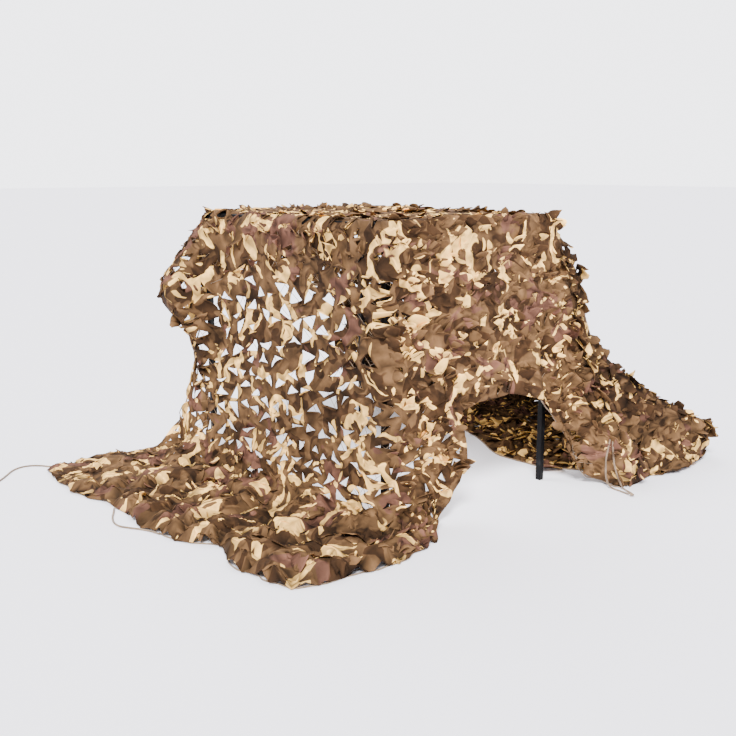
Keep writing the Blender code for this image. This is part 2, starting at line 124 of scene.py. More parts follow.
def smooth_line(points, spacing):
    """Evenly spaced points on a smooth curve through the given ones."""
    points = np.asarray(points, float)
    ends = np.vstack([2 * points[0] - points[1], points, 2 * points[-1] - points[-2]])
    fine = []
    for a, b, c, d in zip(ends, ends[1:], ends[2:], ends[3:]):
        for t in np.linspace(0, 1, 12, endpoint=False):
            fine.append(0.5 * (2 * b + (c - a) * t + (2 * a - 5 * b + 4 * c - d) * t**2
                               + (3 * b - a - 3 * c + d) * t**3))
    fine.append(points[-1])
    fine = np.array(fine)
    run = distances(fine)
    count = max(4, round(run[-1] / spacing))
    return along(fine, run, np.linspace(0, run[-1], count + 1))


def link(name, mesh, material):
    """A finished piece: its place is in its mesh, and it rides on the table."""
    piece = bpy.data.objects.new(name, mesh)
    mesh.materials.append(material)
    bpy.context.scene.collection.objects.link(piece)
    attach(piece, "root")
    return piece


def mesh_of(name, points, faces=(), edges=(), uvs=None, **held):
    """A smooth mesh, with a UV place and any other named values held at each of its points."""
    mesh = bpy.data.meshes.new(name)
    mesh.from_pydata([tuple(p) for p in points], edges, faces)
    if uvs is not None:
        layer = mesh.uv_layers.new(name="cloth")
        corner = np.empty(len(mesh.loops), np.int32)
        mesh.loops.foreach_get("vertex_index", corner)
        layer.data.foreach_set("uv", np.asarray(uvs, np.float32)[corner].ravel())
    for label, value in held.items():
        kind, key = ("FLOAT_VECTOR", "vector") if value.ndim > 1 else ("FLOAT", "value")
        mesh.attributes.new(label, kind, "POINT").data.foreach_set(
            key, value.astype(np.float32).ravel())
    mesh.polygons.foreach_set("use_smooth", [True] * len(mesh.polygons))
    mesh.update()
    return mesh


def feed(fed, **settings):
    """Sets a node's own settings (set_...) and its inputs, from values or from other nodes."""
    for key, value in settings.items():
        if key.startswith("set_"):
            setattr(fed, key[4:], value)
            continue
        if key[1:].isdigit():
            socket = fed.inputs[int(key[1:])]
        else:
            socket = next(s for s in fed.inputs
                          if s.enabled and s.name.replace(" ", "_").lower() == key)
        if isinstance(value, bpy.types.Node):
            value = next(s for s in value.outputs if s.enabled)
        if isinstance(value, bpy.types.NodeSocket):
            fed.id_data.links.new(value, socket)
        else:
            socket.default_value = value
    return fed


def node(tree, kind, **settings):
    """A new node, set and fed; its kind is given without the name of its family."""
    family = next(first for first in ("ShaderNode", "GeometryNode", "FunctionNode")
                  if hasattr(bpy.types, first + kind))
    return feed(tree.nodes.new(family + kind), **settings)


def new_tree(name, kind, inputs, outputs):
    """A node tree with named inputs, each by its first value or its kind, and named outputs.

    Returns the tree, its inputs by name, its output node, and a maker of nodes in it.
    """
    tree = bpy.data.node_groups.new(name, kind + "NodeTree")
    kinds = {int: "Int", float: "Float", tuple: "Color"}
    for label, first in inputs.items():
        socket = tree.interface.new_socket(
            label, in_out="INPUT", socket_type="NodeSocket" + kinds.get(type(first), first))
        if type(first) in kinds:
            socket.default_value = first
    for label, out_kind in outputs.items():
        tree.interface.new_socket(label, in_out="OUTPUT", socket_type="NodeSocket" + out_kind)
    return (tree, tree.nodes.new("NodeGroupInput").outputs, tree.nodes.new("NodeGroupOutput"),
            partial(node, tree))


def new_material(name, **constants):
    """A material with one Principled shader; constants are set on the shader's own sockets."""
    material = bpy.data.materials.new(name)
    material.use_nodes = True
    tree = material.node_tree
    return material, feed(tree.nodes["Principled BSDF"], **constants), partial(node, tree)


def dress(shader, add, effect, strength, depth, **values):
    """Feeds a shader with the colour and the fine relief of a shared effect."""
    seen = add("Group", set_node_tree=effect, **values)
    bump = add("Bump", strength=strength, distance=depth, height=seen.outputs["Height"])
    feed(shader, base_color=seen.outputs["Color"], normal=bump)
    return seen


yarn_group, given, out, add = new_tree(
    "twisted_yarn", "Shader",
    {"Place": "Vector", "Yarn": (0.5, 0.4, 0.3, 1), "Soiled": (0.3, 0.2, 0.14, 1),
     "Fibre": 2500.0},
    {"Color": "Color", "Height": "Float"})
texture = partial(add, "TexNoise", vector=given["Place"])
worn = add("MapRange", value=texture(scale=35.0, detail=3.0), from_min=0.4, from_max=0.7)
tint = add("Mix", set_data_type="RGBA", i0=worn, i6=given["Yarn"], i7=given["Soiled"])
feed(out, color=tint, height=texture(scale=given["Fibre"], detail=2.0))

cord_yarn, shader, add = new_material("cord_yarn_twist", roughness=0.8, specular_ior_level=0.25,
                                      sheen_weight=0.25)
dress(shader, add, yarn_group, 0.35, 0.0004, place=add("TexCoord").outputs["Object"],
      yarn=(0.235, 0.160, 0.100, 1), soiled=(0.11, 0.070, 0.042, 1))


def twisted_cord(name, route, taper=0.006):
    """A cord of three twisted strands along a route; its own UV is metres along and round."""
    radius = CORD_D / 2
    line = smooth_line(route, CORD_D * 0.32) + np.array([TABLE_X, TABLE_Y, 0])
    run = distances(line)
    ways = unit(np.gradient(line, axis=0))
    side = np.cross(ways[0], (0.0, 0.0, 1.0) if abs(ways[0][2]) < 0.9 else (1.0, 0.0, 0.0))
    angles = np.linspace(0, 2 * math.pi, CORD_SIDES, endpoint=False)
    points, uvs = [], []
    for place, way, gone in zip(line, ways, run):
        side = side - way * side.dot(way)
        side /= np.linalg.norm(side)
        other = np.cross(way, side)
        turn = 2 * math.pi * gone / STRAND_LAY
        lobes = 0.80 + 0.20 * np.abs(np.cos(1.5 * (angles - turn)))
        reach = radius * lobes * math.sqrt(min(1.0, 0.15 + min(gone, run[-1] - gone) / taper))
        points.extend(place + side * c * r + other * s * r
                      for c, s, r in zip(np.cos(angles), np.sin(angles), reach))
        uvs.extend((gone, a * radius) for a in angles)
    sides = [(k, (k + 1) % CORD_SIDES) for k in range(CORD_SIDES)]
    end, middle = len(points) - CORD_SIDES, len(points)
    faces = [(row + k, row + n, row + CORD_SIDES + n, row + CORD_SIDES + k)
             for row in range(0, end, CORD_SIDES) for k, n in sides]
    for k, n in sides:
        faces += [(n, k, middle), (end + k, end + n, middle + 1)]
    points += [line[0], line[-1]]
    uvs += [(0.0, 0.0), (run[-1], 0.0)]
    mesh = mesh_of(name, points, faces, uvs=uvs)
    return link(name, mesh, cord_yarn), line


def tied_knot(name, middle, lay_turn, solid):
    """An overhand knot: the cord's end wound once and a half round itself and drawn tight."""
    wound = [(KNOT_LOOP * math.cos(t) * (1 + 0.18 * math.cos(1.5 * t)),
              KNOT_LOOP * math.sin(t) * (1 + 0.18 * math.cos(1.5 * t)),
              0.0022 * math.sin(1.5 * t + lay_turn)) for t in np.linspace(0, 3.0 * math.pi, 40)]
    piece = twisted_cord(name, np.array(wound) + np.array(middle), taper=0.002)[0]
    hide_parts(solid)
    return piece


left_knot = tied_knot("left_knot", LEFT_KNOT, 0.4, "left_tie_knot")
right_knot = tied_knot("right_knot", RIGHT_KNOT, 2.0, "right_tie_knot")

for name, route, solid, far_end, lay, knots in (
    ("left_tie_cord", LEFT_TIE_ROUTE, "left_tie", "knot", "loose", [left_knot]),
    ("right_tie_strand_a", RIGHT_TIE_A_ROUTE, "right_tie_a", "knot", "hanging", [right_knot]),
    ("right_tie_strand_b", RIGHT_TIE_B_ROUTE, "right_tie_b", "knot", "hanging", [right_knot]),
    ("edge_cord_loop", EDGE_LOOP_ROUTE, "edge_loop", "object", "loose", []),
):
    piece, line = twisted_cord(name, route)
    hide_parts(solid)

# ------------------------------ the drape of the net
# The cloth's own shape: it lies on the table, falls down each strip of the list below, and the
# heap's edge is turned back under itself. One strip is one line down the net, as it was arranged.
TABLE_W = 0.60
TABLE_D = 0.80
TABLE_H = 0.74
EDGE_LENGTH = 2 * (TABLE_W + TABLE_D)
TOP_CLEAR = 0.004
REST_SHARE = (0.955, 0.965)
RIM_OUT = 0.010
RIM_CORNER = 0.012
CLOTH_T = 0.002
FOLD_R = 0.011            # of the heap's turned-under edge
TUCK_LEAST = 0.05
LINE_STEP = 0.012
STRIP_LEAST = 0.004       # strips keep this far apart on the table's edge
COLUMNS = 400
ROWS = 96
TOP_ROWS = 22
TUCK_ROWS = 40

# how far out from the table's edge a hanging line passes, and how high, four times on its way
LINES = {
    "short":   ((0.018, 0.690), (0.030, 0.640), (0.040, 0.590), (0.046, 0.560)),
    "ear":     ((0.058, 0.655), (0.138, 0.510), (0.045, 0.340), (0.074, 0.070)),
    "wall":    ((0.022, 0.600), (0.030, 0.360), (0.070, 0.060), (0.130, 0.000)),
    "curtain": ((0.020, 0.600), (0.034, 0.470), (0.044, 0.370), (0.050, 0.320)),
    "drop":    ((0.020, 0.600), (0.040, 0.400), (0.060, 0.220), (0.080, 0.100)),
    "flank":   ((0.045, 0.610), (0.085, 0.420), (0.190, 0.190), (0.270, 0.090)),
    "slope":   ((0.104, 0.600), (0.160, 0.390), (0.390, 0.230), (0.610, 0.105)),
    "back":    ((0.060, 0.620), (0.120, 0.440), (0.250, 0.230), (0.340, 0.120)),
}

# one strip: its line of fall, its place on the table's edge, its heading in degrees, its hem's
# place, how much is tucked under, and how far the cuts of its hanging part have opened, 0 to 1
STRIPS = [
    ("short", -0.23, 0.4, 92, -0.24, 0.455, 0.52, 0, 0.3),
    ("ear", -0.285, 0.4, 120, -0.305, 0.465, 0.35, 0, 0.6),
    ("ear", -0.3, 0.395, 142, -0.39, 0.495, 0.06, 0, 0.8),
    ("ear", -0.3, 0.38, 156, -0.55, 0.6, 0, 0, 0.8),
    ("ear", -0.3, 0.36, 166, -0.73, 0.593, 0, 0, 0.85),
    ("wall", -0.3, 0.29, 180, -0.765, 0.41, 0, 0, 0.95),
    ("wall", -0.3, 0.16, 180, -0.742, 0.22, 0, 0, 1),
    ("wall", -0.3, 0.02, 180, -0.735, 0.05, 0, 0, 1),
    ("wall", -0.3, -0.12, 180, -0.74, -0.13, 0, 0, 1),
    ("wall", -0.3, -0.24, 180, -0.668, -0.26, 0, 0, 1),
    ("wall", -0.3, -0.33, 184, -0.715, -0.35, 0, 0, 1),
    ("wall", -0.3, -0.385, 198, -0.705, -0.48, 0, 0, 0.95),
    ("wall", -0.3, -0.4, 212, -0.684, -0.545, 0, 0, 0.9),
    ("wall", -0.292, -0.4, 228, -0.555, -0.58, 0, 0, 0.8),
    ("wall", -0.28, -0.4, 246, -0.414, -0.585, 0, 0, 0.66),
    ("wall", -0.262, -0.4, 262, -0.269, -0.535, 0, 0, 0.55),
    ("drop", -0.225, -0.4, 268, -0.165, -0.475, 0.025, 0, 0.45),
    ("drop", -0.18, -0.4, 270, -0.08, -0.48, 0.12, 0, 0.4),
    ("curtain", -0.13, -0.4, 270, -0.085, -0.465, 0.235, 0, 0.4),
    ("curtain", -0.05, -0.4, 270, -0.025, -0.455, 0.285, 0, 0.3),
    ("curtain", 0.06, -0.4, 270, 0.075, -0.45, 0.285, 0, 0.22),
    ("curtain", 0.16, -0.4, 270, 0.17, -0.452, 0.27, 0, 0.2),
    ("curtain", 0.24, -0.4, 272, 0.25, -0.46, 0.235, 0, 0.2),
    ("drop", 0.28, -0.4, 278, 0.325, -0.475, 0.12, 0, 0.25),
    ("drop", 0.29, -0.4, 287, 0.36, -0.515, 0.01, 0, 0.3),
    ("flank", 0.298, -0.4, 300, 0.4, -0.595, 0, 0, 0.3),
    ("flank", 0.3, -0.4, 314, 0.54, -0.59, 0, 0, 0.3),
    ("flank", 0.3, -0.396, 328, 0.64, -0.622, 0.02, 0.16, 0.3),
    ("slope", 0.3, -0.388, 342, 0.785, -0.598, 0.024, 0.34, 0.3),
    ("slope", 0.3, -0.365, 354, 0.9, -0.515, 0.024, 0.47, 0.3),
    ("slope", 0.3, -0.3, 360, 0.985, -0.35, 0.024, 0.6, 0.3),
    ("slope", 0.3, -0.16, 360, 1.025, -0.17, 0.024, 0.64, 0.3),
    ("slope", 0.3, 0.02, 360, 1.04, 0.03, 0.024, 0.56, 0.3),
    ("slope", 0.3, 0.2, 360, 1.01, 0.23, 0.024, 0.46, 0.3),
    ("slope", 0.3, 0.33, 368, 0.92, 0.43, 0.024, 0.32, 0.3),
    ("back", 0.3, 0.385, 385, 0.76, 0.56, 0.01, 0.12, 0.3),
    ("back", 0.296, 0.4, 410, 0.52, 0.59, 0.01, 0, 0.3),
    ("back", 0.28, 0.4, 432, 0.37, 0.52, 0.24, 0, 0.3),
    ("short", 0.21, 0.4, 448, 0.22, 0.46, 0.46, 0, 0.3),
    ("short", 0.06, 0.4, 450, 0.06, 0.455, 0.51, 0, 0.3),
    ("short", -0.1, 0.4, 450, -0.1, 0.455, 0.54, 0, 0.3),
]

# a fold's place on the strips' count, its width and height, and where it starts and is full
FOLDS = [
    (4.8, 0.36, 0.03, 0.7, 0.9), (5.5, 0.45, 0.035, 0.72, 0.92), (6.6, 0.4, 0.028, 0.74, 0.95),
    (7.6, 0.45, 0.036, 0.7, 0.92), (8.7, 0.4, 0.03, 0.72, 0.9), (10.2, 0.45, 0.05, 0.55, 0.8),
    (12.6, 0.6, 0.04, 0.6, 0.85), (14.4, 0.5, 0.03, 0.55, 0.9), (16.6, 0.6, 0.035, 0.3, 0.8),
    (18.4, 0.6, 0.03, 0.2, 0.9), (20.6, 0.5, 0.022, 0.2, 0.9), (22.2, 0.45, 0.024, 0.2, 0.9),
    (24.4, 0.5, 0.028, 0.2, 0.8), (26.5, 0.45, 0.034, 0.3, 0.75), (28.3, 0.5, 0.03, 0.35, 0.7),
    (30.2, 0.45, 0.04, 0.35, 0.7), (31.5, 0.35, 0.034, 0.3, 0.7), (32.6, 0.4, 0.04, 0.35, 0.7),
    (34.2, 0.5, 0.04, 0.35, 0.75), (36.4, 0.5, 0.03, 0.3, 0.9), (38.6, 0.4, 0.02, 0.2, 0.9),
    (40.3, 0.4, 0.016, 0.2, 0.9),
]
UNEVEN = 0.006


def ramp(values, start, over):
    """From 0 to 1 as the values rise from a start over a range."""
    return np.clip((values - start) / over, 0, 1)


def monotone(knots, values, at):
    """Smooth values through the knots, with no swing past them."""
    step = np.diff(knots)
    rise = np.diff(values, axis=0) / step[:, None]
    slope = np.zeros_like(values)
    left, right = rise[:-1], rise[1:]
    same_way = left * right > 0
    total = np.where(same_way, left + right, 1.0)
    slope[1:-1] = np.where(same_way, 2 * left * right / total, 0.0)
    i = np.clip(np.searchsorted(knots, at, side="right") - 1, 0, len(step) - 1)
    h = step[i]
    t = ((at - knots[i]) / h)[:, None]
    h = h[:, None]
    return ((2 * t**3 - 3 * t**2 + 1) * values[i] + (t**3 - 2 * t**2 + t) * h * slope[i]
            + (3 * t**2 - 2 * t**3) * values[i + 1] + (t**3 - t**2) * h * slope[i + 1])


def rim_point(s):
    """A place on the table's edge line, from its distance round the edge (rounded corners)."""
    half_x, half_y, r = TABLE_W / 2, TABLE_D / 2, RIM_CORNER
    s = s % EDGE_LENGTH
    for length, x, y, way_x, way_y in (
            (TABLE_D, -half_x, half_y, 0, -1), (TABLE_W, -half_x, -half_y, 1, 0),
            (TABLE_D, half_x, -half_y, 0, 1), (TABLE_W, half_x, half_y, -1, 0)):
        if s < length:
            break
        s -= length
    x, y = x + way_x * s, y + way_y * s
    corner_x, corner_y = max(abs(x) - (half_x - r), 0), max(abs(y) - (half_y - r), 0)
    if corner_x > 0 and corner_y > 0:
        reach = math.hypot(corner_x, corner_y)
        x = math.copysign(half_x - r + corner_x * r / reach, x)
        y = math.copysign(half_y - r + corner_y * r / reach, y)
    return x, y


def rim_distance(x, y):
    """Distance round the table's edge, from the back left corner down the left side."""
    half_x, half_y = TABLE_W / 2, TABLE_D / 2
    gaps = [(abs(x + half_x), half_y - y), (abs(y + half_y), TABLE_D + x + half_x),
            (abs(x - half_x), TABLE_D + TABLE_W + y + half_y),
            (abs(y - half_y), 2 * TABLE_D + TABLE_W + half_x - x)]
    return min(gaps)[1]


def falling_line(row):
    """Points down one strip, from the table's edge to the hem, before any fold."""
    s, heading, hem_x, hem_y, hem_z = row[:5]
    way = np.array([math.cos(heading), math.sin(heading), 0])
    rim = np.array([*rim_point(s), 0])
    line = [(RIM_OUT, TABLE_H - 0.004), (RIM_OUT + 0.004, TABLE_H - 0.030),
            *(p for p in row[7:].reshape(4, 2) if p[1] > hem_z + 0.03 or p[1] < 0.10 >= hem_z)]
    points = [rim + way * out + np.array([0, 0, z]) for out, z in line]
    fine = smooth_line([*points, np.array([hem_x, hem_y, hem_z])], LINE_STEP)
    fine[:, 2] = np.maximum(fine[:, 2], 0.0)
    run = distances(fine)
    return along(fine, run, np.linspace(0, run[-1], ROWS + 1))


def lumps(points):
    """A small smooth unevenness, the same everywhere it is asked for."""
    x, y, z = points[..., 0], points[..., 1], points[..., 2]
    return (np.sin(17 * x + 9 * z + 1.3) * np.sin(15 * y - 11 * z + 0.4)
            + 0.6 * np.sin(31 * y + 23 * z) * np.sin(29 * x - 7 * y + 2.0)) / 1.6


# the strips as numbers, at even steps round the net
strip_rows, last = [], -1.0
for line, rim_x, rim_y, heading, *rest in STRIPS:
    s = rim_distance(rim_x, rim_y) - (EDGE_LENGTH if len(strip_rows) < 2 else 0)
    last = max(s, last + STRIP_LEAST)
    strip_rows.append([last, math.radians(heading), *rest, *np.ravel(LINES[line])])
s, heading, *rest = strip_rows[0]
strip_rows.append([s + EDGE_LENGTH, heading + 2 * math.pi, *rest])
strip_rows = np.array(strip_rows)
spans = (0.5 * np.diff(strip_rows[:, 0])
         + 0.5 * np.linalg.norm(np.diff(strip_rows[:, 2:5], axis=0), axis=1))
strip_places = np.concatenate([[0], np.cumsum(spans)])
column_at = np.linspace(0, strip_places[-1], COLUMNS, endpoint=False)
columns = monotone(strip_places, strip_rows, column_at)
strip_at = np.interp(column_at, strip_places, np.arange(len(strip_places)))

# the hanging skirt: rows from the table's edge down to the hem
skirt = np.array([falling_line(row) for row in columns]).transpose(1, 0, 2)
share = np.linspace(0, 1, ROWS + 1)
down = np.gradient(skirt, axis=0)
around = (np.roll(skirt, -1, axis=1) - np.roll(skirt, 1, axis=1)) / 2
outward = unit(np.cross(around, down))
raised = np.zeros(skirt.shape[:2])
for at, width, height, start, full in FOLDS:
    off = (strip_at - at + len(STRIPS) / 2) % len(STRIPS) - len(STRIPS) / 2
    growth = ramp(share, start, full - start)
    raised += height * np.outer(growth * growth * (3 - 2 * growth), np.exp(-(off / width) ** 2))
tucked = columns[:, 5] > TUCK_LEAST
raised[:, tucked] *= (1 - ramp(share, 0.75, 0.25))[:, None]
raised += np.where(skirt[:, :, 2] < 0.004, 0,
                   UNEVEN * (1 + lumps(skirt)) * np.clip(share * 5, 0, 1)[:, None])
skirt = skirt + outward * raised[:, :, None]
skirt[:, :, 2] = np.maximum(skirt[:, :, 2], 0.0)
skirt[-1, tucked, 2] = np.maximum(skirt[-1, tucked, 2], 1.6 * FOLD_R)

# the part on the table top, as rings from its middle out, and the part turned under at the heap
rim = np.array([rim_point(row[0]) for row in columns])
rings = [np.column_stack([rim * REST_SHARE * ring, np.full(COLUMNS, TABLE_H + CLOTH_T)])
         for ring in np.linspace(0.02, 1, TOP_ROWS)]
heading = np.column_stack([np.cos(columns[:, 1]), np.sin(columns[:, 1])])
rings.append(np.column_stack([rim + 0.004 * heading, np.full(COLUMNS, TABLE_H + TOP_CLEAR)]))
away = unit(skirt[-1, :, :2] - rim)
tuck_length = np.where(tucked, columns[:, 5], 0.0)
under = []
for step in range(TUCK_ROWS):
    part = step / (TUCK_ROWS - 1)
    inward = tuck_length * part - FOLD_R * (1 - min(1.0, part * 12))
    z = CLOTH_T + (skirt[-1, :, 2] * 0.5 - CLOTH_T * 0.5) * (1 - min(1.0, part * 10))
    under.append(np.column_stack([skirt[-1, :, :2] - away * inward[:, None], z]))
drape = np.concatenate([np.array(rings), skirt, np.array(under)])
HEM_ROW = len(rings) + ROWS
drape += (TABLE_X, TABLE_Y, 0)

# ------------------------------ the die-cut garnish
# Printed woven polyester, cut all over with short slits. Where the cloth is stretched they open
# into holes, and each cut piece stays on by one side and curls out as a pointed leaf.
CELL = 0.044              # from one cut to the next
OPEN_CELL = 0.061         # the same where the cloth is stretched
HEXAGON = 0.866           # a cell's area over the square of its pitch
SPREAD_TURNS = 7
GARNISH_SEED = 11
GARNISH_T = 0.0007
GARNISH_OFF = 0.0015      # over the cloth's own line
FLOOR_CLEAR = 0.0012
LEAF_ROWS = (0.0, 0.28, 0.54, 0.78, 1.0)
OPEN_ENOUGH = 0.45        # cuts more open than this show daylight
LYING_FLAT = 0.19         # cuts less open than this keep their leaves down
CRUMPLE = 0.005           # how far the crumpled cloth stands off its own line
LOW_OVER_TOP = 0.748      # over this height the leaves bend flat
LIFT_OVER_TOP = 0.027
BULGE = 0.034             # the apron's bulges: their height, what they fade out by, and their
BULGE_TOP = 0.09          # rolled edge
HEM_ROLL = 0.024
HEM_SWAY = 0.022
HEM_PROUD = 0.007
BULGES_END = 0.13         # the apron's right end, from the table's middle
CREASE_SHADE = 0.55        # painted shade: how much darker the cloth is painted in the creases, and where it hangs open
CURTAIN_SHADE = 0.17
CURTAIN_OUT = 0.29
chance = np.random.RandomState(GARNISH_SEED)

rows_n, cols_n = drape.shape[:2]
spot = drape.reshape(-1, 3)
quads = np.array([(row * cols_n + col, (row + 1) * cols_n + col, (row + 1) * cols_n + n,
                   row * cols_n + n) for row in range(rows_n - 1)
                  for col, n in zip(range(cols_n), [*range(1, cols_n), 0])
                  if row < HEM_ROW or (tucked[col] and tucked[n])])
triangles = np.concatenate([quads[:, [0, 1, 2]], quads[:, [0, 2, 3]]])
cross = np.cross(spot[triangles[:, 1]] - spot[triangles[:, 0]],
                 spot[triangles[:, 2]] - spot[triangles[:, 0]])
size = np.linalg.norm(cross, axis=1)
triangles, cross, size = triangles[size > 1e-9], cross[size > 1e-9], size[size > 1e-9]
way = np.zeros_like(spot)
weight = np.zeros(len(spot))
for k in range(3):
    np.add.at(way, triangles[:, k], cross)
    np.add.at(weight, triangles[:, k], size / 6)
way = unit(way, 1e-12)
cloth_tree = BVHTree.FromPolygons([Vector(p) for p in spot], [tuple(t) for t in triangles])

# how far the cuts are open at each place: wide on the stretched curtain, nearly shut elsewhere
open_at = np.zeros((rows_n, cols_n))
TOP_END = len(rings)
open_at[:TOP_END] = 0.12
height = ramp(drape[TOP_END:HEM_ROW + 1, :, 2], 0.02, 0.08)
under_edge = TABLE_H - drape[TOP_END:HEM_ROW + 1, :, 2]
from_edge = np.where(under_edge < 0.035, 0.75, np.clip(under_edge / 0.12, 0.15, 1))
open_at[TOP_END:HEM_ROW + 1] = np.maximum(0.16, columns[:, 6] * height * from_edge)
open_at[HEM_ROW + 1:] = 0.25
open_at = open_at.ravel()

# middles of the cells, spread evenly over the cloth, with what is turned under kept apart
sort_spot = spot * np.array([1.0, 1.0, 1.18])
sort_spot[(HEM_ROW + 1) * cols_n:, 2] -= 0.15
used = np.where(weight > 0)[0]
pitch = CELL + (OPEN_CELL - CELL) * ramp(open_at, 0.4, 0.4)
weight[used] *= (CELL / pitch[used]) ** 2
count = int(weight.sum() / (HEXAGON * CELL * CELL))
middles = sort_spot[chance.choice(used, count, replace=False,
                                  p=weight[used] / weight[used].sum())]


def near_tree(places):
    """Finds the nearest of some places."""
    tree = KDTree(len(places))
    for k, place in enumerate(places):
        tree.insert(place, k)
    tree.balance()
    return tree


for turn in range(SPREAD_TURNS):
    tree = near_tree(middles)
    label = np.full(len(spot), -1)
    label[used] = [tree.find(p)[1] for p in sort_spot[used]]
    heavy = np.bincount(label[used], weights=weight[used], minlength=count)
    for axis in range(3):
        total = np.bincount(label[used], weights=weight[used] * sort_spot[used, axis],
                            minlength=count)
        middles[:, axis] = np.where(heavy > 0, total / np.maximum(heavy, 1e-12),
                                    middles[:, axis])

# corners of the cells, where three of them meet, and where two meet at the hem
tri_label = label[triangles]
meet = ((tri_label[:, 0] != tri_label[:, 1]) & (tri_label[:, 1] != tri_label[:, 2])
        & (tri_label[:, 0] != tri_label[:, 2]))
points = [spot[t].mean(0) for t in triangles[meet]]
ways = [way[t].mean(0) for t in triangles[meet]]
cell_corners = [[] for _ in range(count)]
for k, names in enumerate(tri_label[meet]):
    for name in names:
        cell_corners[name].append(k)
edges = np.sort(np.concatenate([triangles[:, [0, 1]], triangles[:, [1, 2]],
                                triangles[:, [2, 0]]]), axis=1)
edges, uses = np.unique(edges, axis=0, return_counts=True)
hem_edges = edges[uses == 1]
hem_edges = hem_edges[hem_edges[:, 0] > cols_n]
for a, b in hem_edges:
    if label[a] != label[b]:
        for name in (label[a], label[b]):
            cell_corners[name].append(len(points))
        points.append((spot[a] + spot[b]) / 2)
        ways.append(way[a] + way[b])

mid_of, beside, frames = {}, {}, []      # of the cells' sides, and of the cells
local, local_cell, local_fade_and_shade, leaf_parts, cell_faces = [], [], [], [], []


def add_local(cell, x, y, h, tone_and_shade=None):
    """A point of a cell, on its own flat place and at a height over the cloth, with a random fade
    or a given amount of painted shade.
    """
    local.append((x, y, h))
    local_cell.append(cell)
    local_fade_and_shade.append(chance.uniform(0.0, 0.8) if tone_and_shade is None else tone_and_shade)
    return -len(local)


def around_ring(ring):
    """Each thing of a ring with the next one."""
    return zip(ring, ring[1:] + ring[:1])


def inside_reach(outline, angle):
    """Distance from the cell's middle to its outline, along an angle."""
    c, s = math.cos(angle), math.sin(angle)
    best = 1.0
    for (x0, y0), (x1, y1) in around_ring(outline):
        ex, ey = x1 - x0, y1 - y0
        den = c * ey - s * ex
        if abs(den) < 1e-12:
            continue
        r = (x0 * ey - y0 * ex) / den
        t = (x0 * s - y0 * c) / den
        if r > 0 and -1e-6 <= t <= 1 + 1e-6:
            best = min(best, r)
    return best


def curled(start, bend, run):
    """How far out and how far up a curling tongue has come, some way along it."""
    return ((math.sin(start + bend * run) - math.sin(start)) / bend,
            (math.cos(start) - math.cos(start + bend * run)) / bend)


def leaf(cell, root, root_at, tip, opened, longer=1.0):
    """A cut piece: its root on one side of the hole, its end curling away from the cloth."""
    first, last = root_at[0], root_at[-1]
    across = last - first
    width = np.linalg.norm(across)
    across = across / width
    into = np.array([-across[1], across[0]])
    if (tip - first).dot(into) < 0:
        into = -into
    length = max((tip - first).dot(into), 0.008) * chance.uniform(0.85, 1.15) * longer
    lean = (tip - first).dot(across) + chance.uniform(-0.15, 0.15) * width
    blunt = chance.choice([0.06, 0.14, 0.30]) * width
    bulge = chance.uniform(0.05, 0.17) * width
    start = chance.uniform(0.08, 0.40) + 0.5 * min(opened, 0.5)
    turn = chance.uniform(0.1, 0.9) + 1.2 * min(opened, 0.5)
    if opened < LYING_FLAT:
        start, turn = 0.3 * start, 0.5 * turn
    if opened > OPEN_ENOUGH and chance.uniform() < 0.5:      # folded back over its root
        start, turn = chance.uniform(1.9, 2.6), chance.uniform(0.2, 0.5)
        length *= chance.uniform(0.30, 0.55)
    elif opened > OPEN_ENOUGH:                               # a short curled tongue
        length *= chance.uniform(0.35, 0.85)
    bend = turn / length
    cup = chance.uniform(-8, 16)
    twist = chance.uniform(-0.35, 0.35) * (0.4 + opened)
    rows = [root]
    for t in LEAF_ROWS[1:]:
        left = t * (lean - blunt / 2) - bulge * math.sin(math.pi * t)
        right = (1 - t) * width + t * (lean + blunt / 2) + bulge * math.sin(math.pi * t)
        middle = (left + right) / 2
        d = length * t
        out, rise = curled(start, bend, d)
        line = []
        for side in (left, middle, right):
            off = side - middle
            x, y = first + across * side + into * out
            # painted shade: each leaf darker at its root and lighter towards its tip
            line.append(add_local(cell, x, y, 0.0010 + rise + cup * off * off + twist * off * t,
                                  0.15 + 0.85 * t * chance.uniform(0.6, 1.0)))
            leaf_parts.append((len(local) - 1, first + across * side + into * d))
        rows.append(line)
    for upper, lower in zip(rows, rows[1:]):
        for k in range(2):
            cell_faces.append((cell, (upper[k], upper[k + 1], lower[k + 1], lower[k])))


